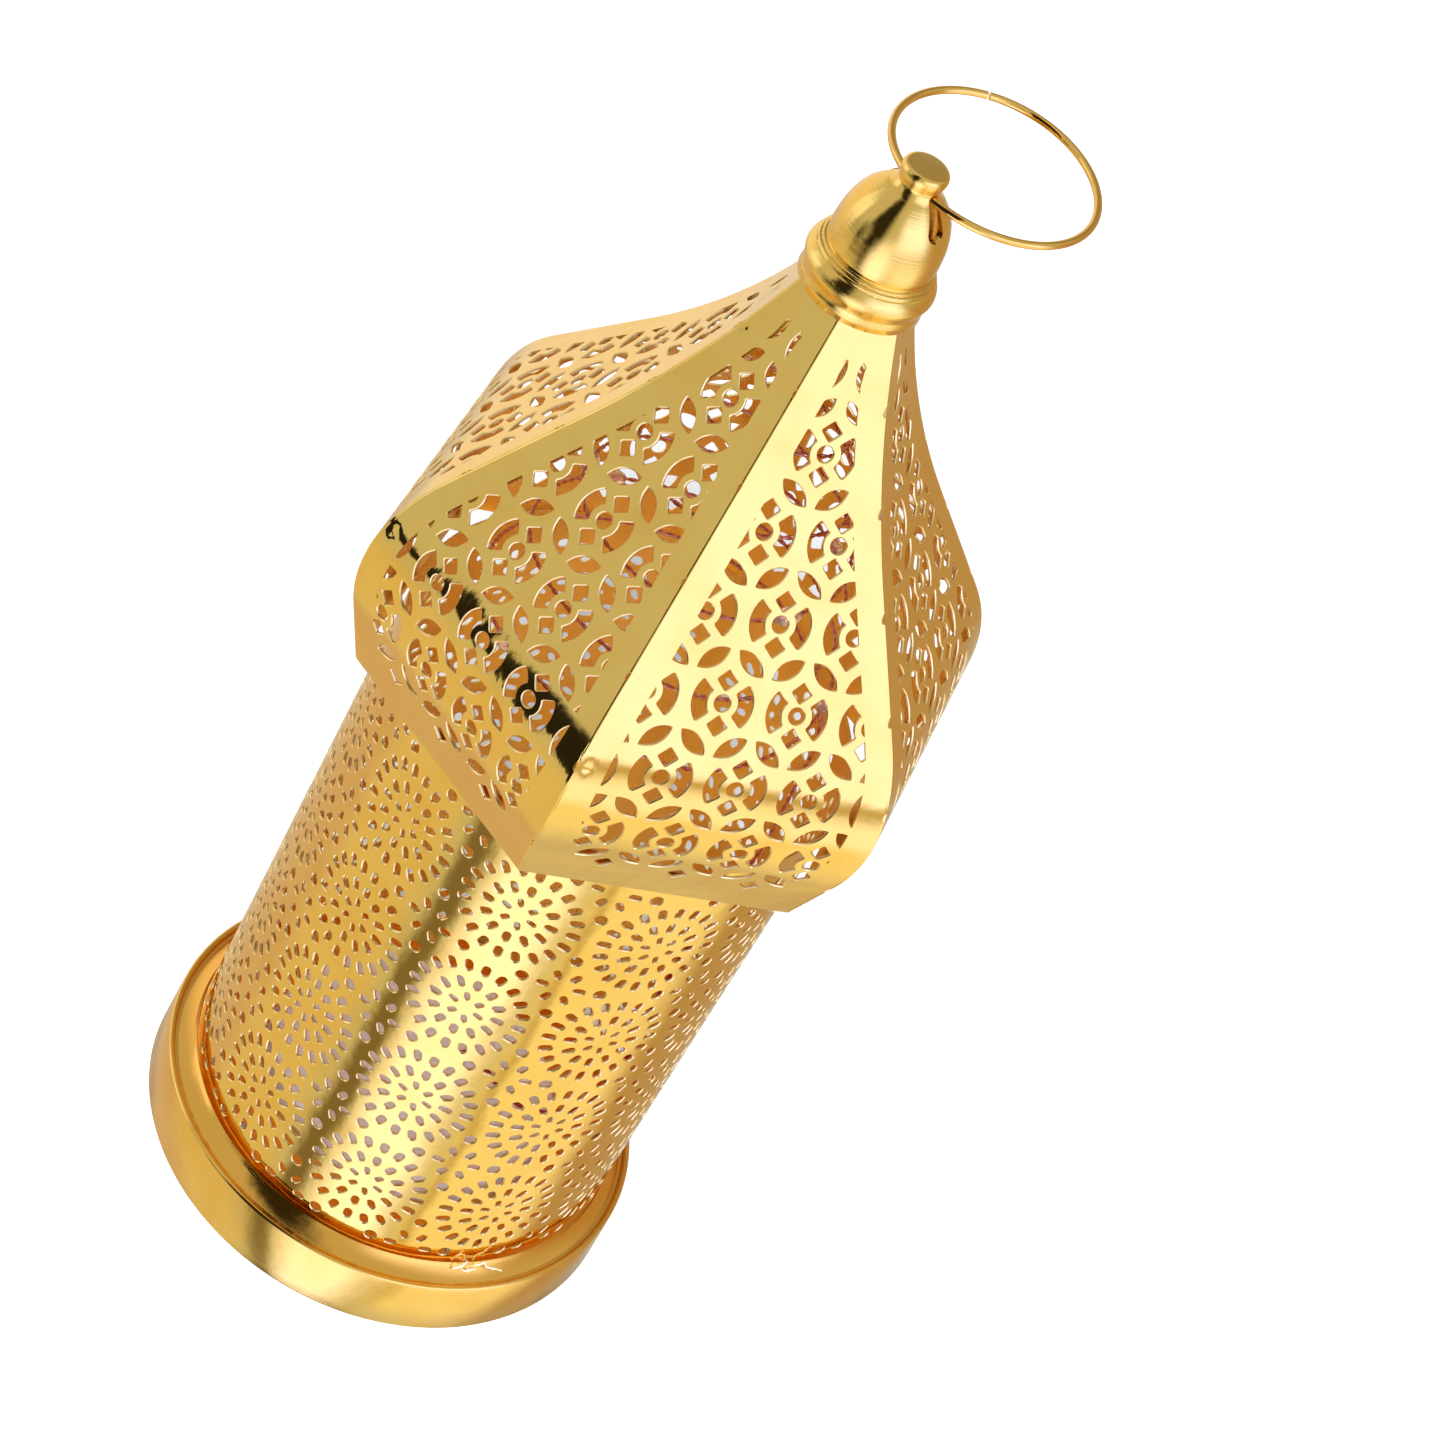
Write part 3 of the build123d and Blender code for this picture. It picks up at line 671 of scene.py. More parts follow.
def punched_panel_tree():
    """Punch the flat blank with the rosette lattice inside its window, then bend it."""
    tree = bpy.data.node_groups.new("punched_panel", "GeometryNodeTree")
    sockets(tree, "INPUT", [
        ("Geometry", "Geometry", None), ("Turn", "Float", 0.0), ("Line", "Object", None), ("Window", "Object", None),
        ("Notches", "Object", None), ("Round Punch", "Object", None), ("Sector Punch", "Object", None),
        ("Square Punch", "Object", None), ("Leaf Punch", "Object", None), ("Slim Leaf Punch", "Object", None),
        ("Across Pitch", "Float", 0.014), ("Down Pitch", "Float", 0.0302), ("First Row", "Float", 0.0268),
        ("Last Spot", "Float", 0.09), ("Material", "Material", None)])
    sockets(tree, "OUTPUT", [("Geometry", "Geometry", None)])
    given = put(tree, "NodeGroupInput").outputs
    square_off = 0.00405
    rosette = joined(tree, [
        lone_hole(tree, 0, 0, 0, 1.0, 0), lone_hole(tree, 0, 0, 0, 1.0, 1), lone_hole(tree, 0, 0, pi, 1.0, 1),
        lone_hole(tree, 0, square_off, pi / 4, 1.0, 2), lone_hole(tree, 0, -square_off, pi / 4, 1.0, 2),
        lone_hole(tree, 0.0035, -0.00755, radians(38), 1.0, 3),
        lone_hole(tree, -0.0035, -0.00755, radians(-38), 1.0, 3)])
    foot_square = lone_hole(tree, 0, square_off, pi / 4, 1.0, 2)
    crown = joined(tree, [
        lone_hole(tree, 0.00215, -0.0126, radians(-77), 1.0, 4),
        lone_hole(tree, -0.00215, -0.0126, radians(77), 1.0, 4),
        lone_hole(tree, 0.00265, -0.0189, radians(-53), 0.74, 3),
        lone_hole(tree, -0.00265, -0.0189, radians(53), 0.74, 3)])
    half_down = calc(tree, "MULTIPLY", given["Down Pitch"], 0.5)
    first = calc(tree, "MULTIPLY", given["First Row"], -1.0)
    low_even = calc(tree, "SUBTRACT", first, calc(tree, "MULTIPLY", given["Down Pitch"], 2.0))
    low_odd = calc(tree, "ADD", low_even, calc(tree, "MULTIPLY", half_down, -1.0))
    foot_row = calc(tree, "SUBTRACT", low_even, given["Down Pitch"])
    pitches = (given["Across Pitch"], given["Down Pitch"])
    holes = joined(tree, [
        lattice(tree, 5, 3, *pitches, 0.0, low_even, rosette), lattice(tree, 6, 3, *pitches, 0.0, low_odd, rosette),
        lattice(tree, 5, 1, *pitches, 0.0, foot_row, foot_square), crown])
    tools = [given["Round Punch"], given["Sector Punch"], given["Square Punch"], given["Leaf Punch"],
             given["Slim Leaf Punch"]]
    cutters = punched_with(tree, holes, tools)
    window = put(tree, "GeometryNodeObjectInfo", {"Object": given["Window"]}).outputs["Geometry"]
    notches = put(tree, "GeometryNodeObjectInfo", {"Object": given["Notches"]}).outputs["Geometry"]
    framed = put(tree, "GeometryNodeMeshBoolean", operation="INTERSECT", solver="MANIFOLD")
    tree.links.new(cutters, framed.inputs["Mesh 2"])
    tree.links.new(window, framed.inputs["Mesh 2"])
    cut = put(tree, "GeometryNodeMeshBoolean", {"Mesh 1": given["Geometry"]}, operation="DIFFERENCE",
              solver="MANIFOLD")
    tree.links.new(framed.outputs[0], cut.inputs["Mesh 2"])
    tree.links.new(notches, cut.inputs["Mesh 2"])
    brake = put(tree, "GeometryNodeGroup", node_tree=press_brake)
    plug(tree, brake, {"Geometry": skin_of(tree, cut.outputs[0]), "Line": given["Line"], "Turn": given["Turn"],
                       "Last Spot": given["Last Spot"]})
    plated = put(tree, "GeometryNodeSetMaterial", {"Geometry": brake.outputs[0], "Material": given["Material"]})
    real = put(tree, "GeometryNodeRealizeInstances", {"Geometry": plated.outputs[0]}).outputs[0]
    plug(tree, put(tree, "NodeGroupOutput"), {0: real})
    return tree


def folded_strip_tree():
    """Bend one folded strip on the neighbour's face."""
    tree = bpy.data.node_groups.new("folded_strip", "GeometryNodeTree")
    sockets(tree, "INPUT", [("Geometry", "Geometry", None), ("Turn", "Float", 0.0), ("Line", "Object", None),
                            ("Material", "Material", None)])
    sockets(tree, "OUTPUT", [("Geometry", "Geometry", None)])
    given = put(tree, "NodeGroupInput").outputs
    brake = put(tree, "GeometryNodeGroup", node_tree=press_brake)
    plug(tree, brake, {"Geometry": skin_of(tree, given["Geometry"]), "Line": given["Line"], "Turn": given["Turn"],
                       "Last Spot": 0.0, "Edge Turn Down": 0.0})
    plated = put(tree, "GeometryNodeSetMaterial", {"Geometry": brake.outputs[0], "Material": given["Material"]})
    real = put(tree, "GeometryNodeRealizeInstances", {"Geometry": plated.outputs[0]}).outputs[0]
    plug(tree, put(tree, "NodeGroupOutput"), {0: real})
    return tree


def grown_on(host, tree, values):
    """Run a tree on a flat blank and return its result as a plain mesh."""
    modifier = host.modifiers.new("tree", "NODES")
    modifier.node_group = tree
    for item in tree.interface.items_tree:
        if item.in_out == "INPUT" and item.name in values:
            modifier[item.identifier] = values[item.name]
    ready = host.evaluated_get(bpy.context.evaluated_depsgraph_get())
    mesh = bpy.data.meshes.new_from_object(ready)
    host.modifiers.remove(modifier)
    return mesh


def line_object(name, points):
    """Poly curve in the XZ plane."""
    data = bpy.data.curves.new(name, "CURVE")
    data.dimensions = "3D"
    spline = data.splines.new("POLY")
    spline.points.add(len(points) - 1)
    for point, (r, z) in zip(spline.points, points):
        point.co = (r, 0, z, 1)
    made = bpy.data.objects.new(name, data)
    bpy.context.scene.collection.objects.link(made)
    return made


def rounded_outline(corners, radius, steps):
    """Closed outline with rounded corners, anticlockwise."""
    outline = []
    count = len(corners)
    for i, corner in enumerate(corners):
        here = Vector(corner)
        way_in = (here - Vector(corners[i - 1])).normalized()
        way_out = (Vector(corners[(i + 1) % count]) - here).normalized()
        half = acos(max(-1, min(1, way_in.dot(way_out)))) / 2
        start = here - way_in * radius * tan(half)
        end = here + way_out * radius * tan(half)
        for k in range(steps + 1):
            t = k / steps
            outline.append(tuple(start * (1 - t) ** 2 + here * 2 * t * (1 - t) + end * t ** 2))
    return outline


def sector_outline(inner, outer, half_angle, steps):
    """Part of a ring, either side of +X, with its corners eased."""
    trim = radians(2.5)
    half = radians(half_angle)
    far = [(outer * cos(a), outer * sin(a)) for a in
           [-half + trim + 2 * (half - trim) * i / steps for i in range(steps + 1)]]
    near = [(inner * cos(a), inner * sin(a)) for a in
            [half - trim - 2 * (half - trim) * i / steps for i in range(steps + 1)]]
    ease = 0.0003
    ends = [((outer - ease) * cos(half), (outer - ease) * sin(half)),
            ((inner + ease) * cos(half), (inner + ease) * sin(half))]
    return far + ends + near + [(x, -y) for x, y in reversed(ends)]


def leaf_outline(length, width, steps):
    """Two arcs meeting in blunt points at each end of X."""
    upper = []
    for i in range(steps + 1):
        t = -1 + 2 * i / steps
        upper.append((length / 2 * t, width / 2 * (1 - abs(t) ** 2.1) + 0.00006))
    return [(x, -y) for x, y in upper] + list(reversed(upper))


side_margin = 0.0053
foot_margin = 0.0035
window_rows = [0.0085 + (panel_length - foot_margin - 0.0085) * i / 40 for i in range(41)]


def window_half(down):
    """Half width of the patterned part of a face."""
    return max(0.0022, half_at(down) - side_margin - 0.0012 * max(0.0, min(1.0, (down - 0.085) / 0.02)))


window_right = [(window_half(down), -down) for down in window_rows]
window_left = [(-x, y) for x, y in window_right]
window = flat_prisms("window", [list(reversed(window_right)) + window_left], -0.0035, 0.0025)
notch_marks = []
for down in spots + [panel_length - 0.012]:
    edge = half_at(down)
    notch_marks.append([(edge + 0.0011 * cos(2 * pi * k / 12) * 0.55, -down + 0.0011 * sin(2 * pi * k / 12))
                        for k in range(12)])
notches = flat_prisms("notches", notch_marks, -0.002, 0.002)
bend_curve = line_object("bend_line", bend_line)
panel_rows = [panel_length * i / 62 for i in range(63)]
for down in spots:
    panel_rows += [down - 0.0006, down + 0.0006]
panel_rows = sorted(panel_rows)
panel_rows = [s for i, s in enumerate(panel_rows) if i == 0 or s - panel_rows[i - 1] > 0.0003]
left_steps = (0.0, 0.0003, 0.0006, 0.0010, 0.0015, 0.0021, 0.0028, 0.0038)
right_steps = (0.0010, 0.0006, 0.0003, 0.0)
seam_gap = 0.00003
panel_columns = [lambda a, b, step=step: a + step + seam_gap for step in left_steps]
panel_columns += [lambda a, b, step=step: b - step - seam_gap for step in right_steps]
panel_blank = flat_blank("panel_blank", panel_rows, lambda down: (-half_at(down), half_at(down)), 0.0, -sheet,
                         panel_columns)
strip_rows = [panel_length * i / 62 for i in range(63)]
strip_blank = flat_blank("strip_blank", strip_rows, lambda down: (-half_at(down), half_at(down)), -0.00062,
                         -0.00112, [lambda a, b: a + 0.0004, lambda a, b: min(a + 0.0054, (a + b) / 2)])
square_half = 0.00133
square_corners = [(-square_half, -square_half), (square_half, -square_half), (square_half, square_half),
                  (-square_half, square_half)]
panel_punches = {
    "Round Punch": punch("centre_punch", ring_outline(0.00148, 20), draw_in),
    "Sector Punch": punch("sector_punch", sector_outline(0.00297, 0.00563, 42, 8), draw_in),
    "Square Punch": punch("square_punch", rounded_outline(square_corners, 0.0003, 2), draw_in),
    "Leaf Punch": punch("leaf_punch", leaf_outline(0.0063, 0.00275, 12), draw_in),
    "Slim Leaf Punch": punch("slim_leaf_punch", leaf_outline(0.0052, 0.0016, 10), draw_in)}
panel_mesh = grown_on(panel_blank, punched_panel_tree(), {
    "Line": bend_curve, "Window": window, "Notches": notches, "Last Spot": spots[-1] + 0.005,
    "Material": rolled_gold_material, **panel_punches})
strip_mesh = grown_on(strip_blank, folded_strip_tree(), {
    "Line": bend_curve, "Turn": radians(60), "Material": rolled_gold_material})
for number in range(6):
    face = bpy.data.objects.new("panel_part", panel_mesh.copy())
    strip = bpy.data.objects.new("strip_part", strip_mesh.copy())
    for part in (face, strip):
        bpy.context.scene.collection.objects.link(part)
        part.data.transform(Matrix.Rotation(radians(60 * number), 4, "Z"))
    with bpy.context.temp_override(active_object=face, selected_editable_objects=[face, strip]):
        bpy.ops.object.join()
    face.name = f"shade_panel_{number + 1}_punched"
    face.data.materials.clear()
    face.data.materials.append(rolled_gold_material)
    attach(face, "lantern")
    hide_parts(f"shade_panel_{number + 1}")
for helper in [window, notches, bend_curve, panel_blank, strip_blank, *panel_punches.values(), slot_punch,
               round_punch]:
    bpy.data.objects.remove(helper)


# ---------------------------------------------------------------- shade welds
# Small round spot welds that hold the foot of each shade face to the tube, hidden behind the panels.
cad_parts["shade_welds"].data.materials.clear()
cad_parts["shade_welds"].data.materials.append(spun_gold_material)


# ---------------------------------------------------------------- cap
# One piece of spun and turned metal: skirt over the panels' tips, bead, fine grooves, bell dome and knob.
# The cutting tool left close rings on it, and a teardrop hole is drilled through the dome for the ring.
def through(points, steps):
    """A smooth line through points."""
    line = []
    ends = [Vector(points[0]) * 2 - Vector(points[1]), *map(Vector, points),
            Vector(points[-1]) * 2 - Vector(points[-2])]
    for a, b, c, d in zip(ends, ends[1:], ends[2:], ends[3:]):
        for i in range(steps):
            t = i / steps
            line.append(tuple(0.5 * (2 * b + (c - a) * t + (2 * a - 5 * b + 4 * c - d) * t * t
                                     + (3 * b - a - 3 * c + d) * t ** 3)))
    return line + [tuple(points[-1])]


def cut_away_tree():
    """Cut a tool out of a turned piece and keep the turned surface's own smooth normals."""
    tree = bpy.data.node_groups.new("cut_away", "GeometryNodeTree")
    sockets(tree, "INPUT", [("Geometry", "Geometry", None), ("Tool", "Object", None), ("Material", "Material", None)])
    sockets(tree, "OUTPUT", [("Geometry", "Geometry", None)])
    given = put(tree, "NodeGroupInput").outputs
    marked = put(tree, "GeometryNodeStoreNamedAttribute", {"Geometry": given["Geometry"], "Name": "skin",
                                                           "Value": 1.0}, data_type="FLOAT", domain="FACE").outputs[0]
    tool = put(tree, "GeometryNodeObjectInfo", {"Object": given["Tool"]}).outputs["Geometry"]
    cut = put(tree, "GeometryNodeMeshBoolean", {"Mesh 1": marked}, operation="DIFFERENCE", solver="MANIFOLD")
    tree.links.new(tool, cut.inputs["Mesh 2"])
    sample = put(tree, "GeometryNodeSampleNearestSurface", {"Mesh": given["Geometry"]}, data_type="FLOAT_VECTOR")
    tree.links.new(put(tree, "GeometryNodeInputNormal").outputs[0], sample.inputs["Value"])
    own = put(tree, "GeometryNodeInputNormal").outputs[0]
    chosen = put(tree, "GeometryNodeSwitch", {"Switch": attribute(tree, "skin"), "False": own,
                                              "True": sample.outputs["Value"]}, input_type="VECTOR").outputs[0]
    flat = put(tree, "GeometryNodeSetShadeSmooth", {"Geometry": cut.outputs[0], "Shade Smooth": False}).outputs[0]
    shaded = put(tree, "GeometryNodeSetMeshNormal", {"Mesh": flat, "Custom Normal": chosen}, mode="FREE",
                 domain="CORNER")
    plated = put(tree, "GeometryNodeSetMaterial", {"Geometry": shaded.outputs[0], "Material": given["Material"]})
    real = put(tree, "GeometryNodeRealizeInstances", {"Geometry": plated.outputs[0]}).outputs[0]
    plug(tree, put(tree, "NodeGroupOutput"), {0: real})
    return tree


cut_away = cut_away_tree()


def turned_gold():
    """Plating over a turned surface: close tool rings, stronger on the dome."""
    made, tree, shader, height = gold_plate("turned_gold", 0.15, 0.3, 0.02, 0.015)
    place = put(tree, "ShaderNodeTexCoord").outputs["Object"]
    up = put(tree, "ShaderNodeSeparateXYZ", {0: place}).outputs[2]
    fine = put(tree, "ShaderNodeTexNoise", {"W": calc(tree, "MULTIPLY", up, 2600.0), "Detail": 2.0},
               noise_dimensions="1D").outputs["Fac"]
    broad = put(tree, "ShaderNodeTexNoise", {"W": calc(tree, "MULTIPLY", up, 900.0), "Detail": 1.0},
                noise_dimensions="1D").outputs["Fac"]
    rings = calc(tree, "ADD", calc(tree, "MULTIPLY", fine, 0.012), calc(tree, "MULTIPLY", broad, 0.018))
    bump(tree, shader, calc(tree, "ADD", calc(tree, "MULTIPLY", height, 0.4), rings), 0.0010)
    return made


turned_gold_material = turned_gold()
cap_low, cap_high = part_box("cap")
mm = 0.001
knob_z = cap_high.z
skirt_z = cap_low.z
cap_outer = [(11.0, skirt_z / mm), (11.35, skirt_z / mm), (11.5, skirt_z / mm + 0.15), (11.32, 240.6)]
cap_outer += through([(11.2, 241.2), (11.45, 242.0), (11.85, 242.9), (12.0, 243.9), (11.7, 245.0), (11.0, 245.9)], 5)
cap_outer += through([(10.75, 246.05), (10.7, 246.25), (10.9, 246.45), (10.75, 246.75), (10.35, 246.9),
                      (10.4, 247.15), (10.1, 247.4), (9.75, 247.5), (9.7, 247.75), (9.9, 248.3)], 3)
cap_outer += through([(9.95, 249.2), (9.92, 251.0), (9.65, 253.6), (9.0, 256.2), (8.05, 258.3), (6.9, 259.9),
                      (5.6, 261.3), (4.65, 262.15), (4.15, 262.9), (3.96, 263.6), (4.1, 264.3), (4.25, 265.0),
                      (4.28, 265.6), (4.15, 266.1), (3.95, 266.42), (3.65, 266.62), (3.3, 266.69)], 6)
cap_outer += [(0.0, knob_z / mm)]
cap_inner = through([(0.0, 264.4), (3.2, 264.3), (3.35, 263.3), (3.8, 262.5), (5.7, 260.0), (7.9, 256.1),
                     (9.0, 252.0), (9.15, 248.4), (9.0, 247.4), (9.8, 246.2), (11.2, 243.9), (10.65, 241.6),
                     (10.85, 239.6)], 4)
cap_blank = turned("cap_blank", [(r * mm, z * mm) for r, z in cap_outer + cap_inner], turned_gold_material, 160)
cap_blank.data.shade_smooth()
pivot_z = 0.2627
hole_azimuth = radians(-31)
drop_foot_z = 0.2589
drop_outline = []
for i in range(13):
    a = radians(-14 + 208 * i / 12)
    drop_outline.append((0.00105 * cos(a), pivot_z + 0.00105 * sin(a)))
for i in range(17):
    a = radians(194 + 152 * i / 16)
    drop_outline.append((0.0018 * cos(a), drop_foot_z + 0.0018 * sin(a)))
drop_tool = flat_prisms("drop_tool", [drop_outline], -0.02, 0.02)
drop_tool.data.transform(Matrix.Rotation(hole_azimuth, 4, "Z") @ Matrix.Rotation(radians(90), 4, "Z")
                         @ Matrix.Rotation(radians(90), 4, "X"))
cap_mesh = grown_on(cap_blank, cut_away, {"Tool": drop_tool, "Material": turned_gold_material})
cap = finish_piece("cap_turned", cap_mesh, turned_gold_material, sharp=None)
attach(cap, "lantern")
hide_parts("cap")
for helper in (cap_blank, drop_tool):
    bpy.data.objects.remove(helper)


# ---------------------------------------------------------------- hanging ring
# A ring of plated wire bent round through the dome's hole, its two sawn ends left a hair apart.
# It swings on the hole, and at rest it lies over to the back, nearly level.
def tube_along(name, points, radius, sides, material, closed=False, capped=True):
    """Round tube along close points, with a frame that does not twist."""
    body = bmesh.new()
    rings = []
    count = len(points)
    side = None
    for i, here in enumerate(points):
        before = points[i - 1] if i or closed else here
        after = points[(i + 1) % count] if i < count - 1 or closed else here
        run = (after - before).normalized()
        if side is None:
            side = run.orthogonal().normalized()
        side = (side - run * side.dot(run)).normalized()
        other = run.cross(side)
        size = radius(i / (count - 1)) if callable(radius) else radius
        rings.append([body.verts.new(here + (side * cos(2 * pi * k / sides) + other * sin(2 * pi * k / sides)) * size)
                      for k in range(sides)])
    for low, high in zip(rings, rings[1:]):
        for k in range(sides):
            j = (k + 1) % sides
            body.faces.new((low[k], low[j], high[j], high[k]))
    if capped:
        body.faces.new(reversed(rings[0]))
        body.faces.new(rings[-1])
    mesh = bpy.data.meshes.new(name)
    body.to_mesh(mesh)
    body.free()
    return finish_piece(name, mesh, material, sharp=50)


def drawn_gold():
    """Plating over drawn wire, with lengthwise die lines and a few rubbed places."""
    made, tree, shader, height = gold_plate("drawn_gold", 0.8, 0.6, 0.06, 0.04, light=(0.95, 0.60, 0.15),
                                            deep=(0.86, 0.50, 0.10))
    bump(tree, shader, height, 0.0006)
    return made


drawn_gold_material = drawn_gold()
ring_r = 0.0189
wire_r = 0.000725
dome_r = 0.0044
ring_gap = 1.6
gap_at = 234.0
ring_rest_tilt = 2.0
ring_reach = sqrt(ring_r ** 2 - dome_r ** 2)
ring_place = (Matrix.Translation((0, 0, pivot_z)) @ Matrix.Rotation(hole_azimuth + radians(90), 4, "Z")
              @ Matrix.Rotation(radians(-ring_rest_tilt), 4, "Y") @ Matrix.Translation((ring_reach, 0, 0)))
ring_points = []
for i in range(181):
    a = radians(180 + gap_at + ring_gap / 2 + (360 - ring_gap) * i / 180)
    wobble = 1 + 0.004 * sin(3 * a + 0.7)
    ring_points.append(ring_place @ Vector((ring_r * wobble * cos(a), ring_r * wobble * sin(a),
                                            0.00012 * sin(2 * a))))
hanging_ring = tube_along("hanging_ring_wire", ring_points, wire_r, 20, drawn_gold_material)
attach(hanging_ring, "ring")
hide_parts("hanging_ring")


# ---------------------------------------------------------------- battery box and lid
# Two white moulded parts: a round cup let into the deck, and a flat cover with a screw pocket and a
# window for the switch. The plastic is semi-matt, a little translucent and lightly rubbed.
def moulded(name, colour, rough, scatter=0.0):
    """Moulded plastic with a fine spark-eroded grain, and faint flow marks that dim it a little in random patches."""
    made, tree, shader = new_material(name)
    place = put(tree, "ShaderNodeTexCoord").outputs["Object"]
    grain = noise(tree, place, 2400.0, 2.0)
    flow = noise(tree, place, 60.0, 4.0)
    shade = put(tree, "ShaderNodeMapRange", {"Value": flow, "From Min": 0.3, "From Max": 0.75}).outputs[0]
    dim = tuple(c * 0.93 for c in colour)
    tint = blend(tree, shade, (*colour, 1), (*dim, 1))
    dull = put(tree, "ShaderNodeMapRange", {"Value": flow, "From Min": 0.3, "From Max": 0.7, "To Min": rough,
                                            "To Max": rough + 0.14}).outputs[0]
    plug(tree, shader, {"Base Color": tint, "Roughness": dull, "Subsurface Weight": scatter,
                        "Subsurface Scale": 0.001})
    bump(tree, shader, grain, 0.00003)
    return made


white_plastic = moulded("white_plastic", (0.82, 0.81, 0.80), 0.34, 0.15)
black_plastic = moulded("black_plastic", (0.018, 0.018, 0.02), 0.38)
box_low, box_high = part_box("battery_box")
lid_low, lid_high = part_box("battery_lid")
box_r = 0.030
flange_r = box_high.x
flange_top = deck_z - pan_sheet
box_outline = [(box_r - 0.0015, box_low.z), (box_r - 0.0003, box_low.z), (box_r, box_low.z + 0.0003)]
box_outline += [(box_r, flange_top - 0.002), (flange_r - 0.0002, flange_top - 0.002), (flange_r, flange_top - 0.0018)]
box_outline += [(flange_r, flange_top - 0.0002), (flange_r - 0.0002, flange_top), (box_r, flange_top)]
box_outline += arc((box_r - 0.0012, box_high.z - 0.0012), 0.0012, 0, 90, 6)
box_outline += [(0.0120, box_high.z), (0.0116, box_high.z - 0.0003), (0.0112, box_high.z), (0.0, box_high.z)]
box_outline += [(0.0, box_high.z - 0.0015), (box_r - 0.0018, box_high.z - 0.0015),
                (box_r - 0.0015, box_high.z - 0.0018)]
battery_box = turned("battery_box_moulded", box_outline, white_plastic, 128)
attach(battery_box, "lantern")
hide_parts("battery_box")

lid_r = lid_high.x
lid_outline = [(0.0, lid_low.z), (lid_r - 0.0033, lid_low.z), (lid_r - 0.0030, lid_low.z),
               (lid_r - 0.0028, lid_low.z + 0.0002)]
lid_outline += [(lid_r - 0.0024, lid_low.z + 0.0002), (lid_r - 0.0022, lid_low.z)]
lid_outline += arc((lid_r - 0.0006, lid_low.z + 0.0006), 0.0006, -90, 0, 5)
lid_outline += [(lid_r, lid_high.z - 0.0001), (lid_r - 0.0001, lid_high.z), (lid_r - 0.0005, lid_high.z),
                (0.0, lid_high.z)]
lid_blank = turned("lid_blank", lid_outline, white_plastic, 128)
lid_blank.data.shade_smooth()
screw_low, screw_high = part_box("lid_screw")
slider_low, slider_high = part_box("switch_slider")
screw_x = (screw_low.x + screw_high.x) / 2
switch_x = (slider_low.x + slider_high.x) / 2
window_half_x = 0.00155
window_half_y = 0.00305
lid_tools = [[(switch_x + x, y) for x, y in rounded_outline(
    [(-window_half_x, -window_half_y), (window_half_x, -window_half_y), (window_half_x, window_half_y),
     (-window_half_x, window_half_y)], 0.0004, 4)]]
window_tool = flat_prisms("window_tool", lid_tools, lid_low.z - 0.001, lid_high.z + 0.001)
pocket = [(screw_x + x, y) for x, y in ring_outline(0.0028, 32)]
pocket_tool = flat_prisms("pocket_tool", [pocket], lid_low.z - 0.001, lid_low.z + 0.0013)
with bpy.context.temp_override(active_object=window_tool,
                               selected_editable_objects=[window_tool, pocket_tool]):
    bpy.ops.object.join()
first_cut = grown_on(lid_blank, cut_away, {"Tool": window_tool, "Material": white_plastic})
lid = finish_piece("battery_lid_moulded", first_cut, white_plastic, sharp=None)
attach(lid, "lid")
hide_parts("battery_lid")
for helper in (lid_blank, window_tool):
    bpy.data.objects.remove(helper)


# ---------------------------------------------------------------- screw and switch
# A small cross-slotted pan-head screw holds the lid. The slide switch has a ribbed black thumb piece that
# moves in the lid's window, in a moulded housing behind it.
def bright_steel():
    """Nickel-plated steel with fine scuffs."""
    made, tree, shader = new_material("bright_steel")
    marks = put(tree, "ShaderNodeGroup", node_tree=hand_marks)
    plug(tree, marks, {"Wave": 0.3, "Grain": 1.0, "Haze": 0.25, "Polish": 0.18})
    tint = blend(tree, marks.outputs["Tarnish"], (0.74, 0.73, 0.70, 1), (0.58, 0.56, 0.52, 1))
    plug(tree, shader, {"Base Color": tint, "Metallic": 1.0, "Roughness": marks.outputs["Roughness"]})
    bump(tree, shader, marks.outputs["Height"], 0.0005)
    return made


steel_material = bright_steel()


def dress(node, material):
    """Give a carried-over part its finish."""
    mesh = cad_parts[node].data
    mesh.materials.clear()
    mesh.materials.append(material)


dress("lid_screw", steel_material)
dress("switch_body", black_plastic)
dress("contact_plates", steel_material)

ribs = 3
thumb_z = slider_low.z
thumb_outline = [(slider_low.y, slider_high.z), (slider_low.y, thumb_z + 0.0003), (slider_low.y + 0.0002, thumb_z)]
rib_pitch = (slider_high.y - slider_low.y - 0.0004) / ribs
for k in range(ribs):
    start = slider_low.y + 0.0002 + k * rib_pitch
    thumb_outline += [(start + 0.55 * rib_pitch, thumb_z), (start + 0.62 * rib_pitch, thumb_z + 0.00028)]
    thumb_outline += [(start + 0.90 * rib_pitch, thumb_z + 0.00028), (start + 0.97 * rib_pitch, thumb_z)]
thumb_outline += [(slider_high.y, thumb_z + 0.0003), (slider_high.y, slider_high.z)]
thumb = flat_prisms("switch_thumb", [thumb_outline], -0.5 * (slider_high.x - slider_low.x),
                    0.5 * (slider_high.x - slider_low.x))
thumb.data.transform(Matrix(((0, 0, 1, switch_x), (1, 0, 0, 0), (0, 1, 0, 0), (0, 0, 0, 1))))
thumb.data.materials.append(black_plastic)
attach(thumb, "slider")
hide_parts("switch_slider")


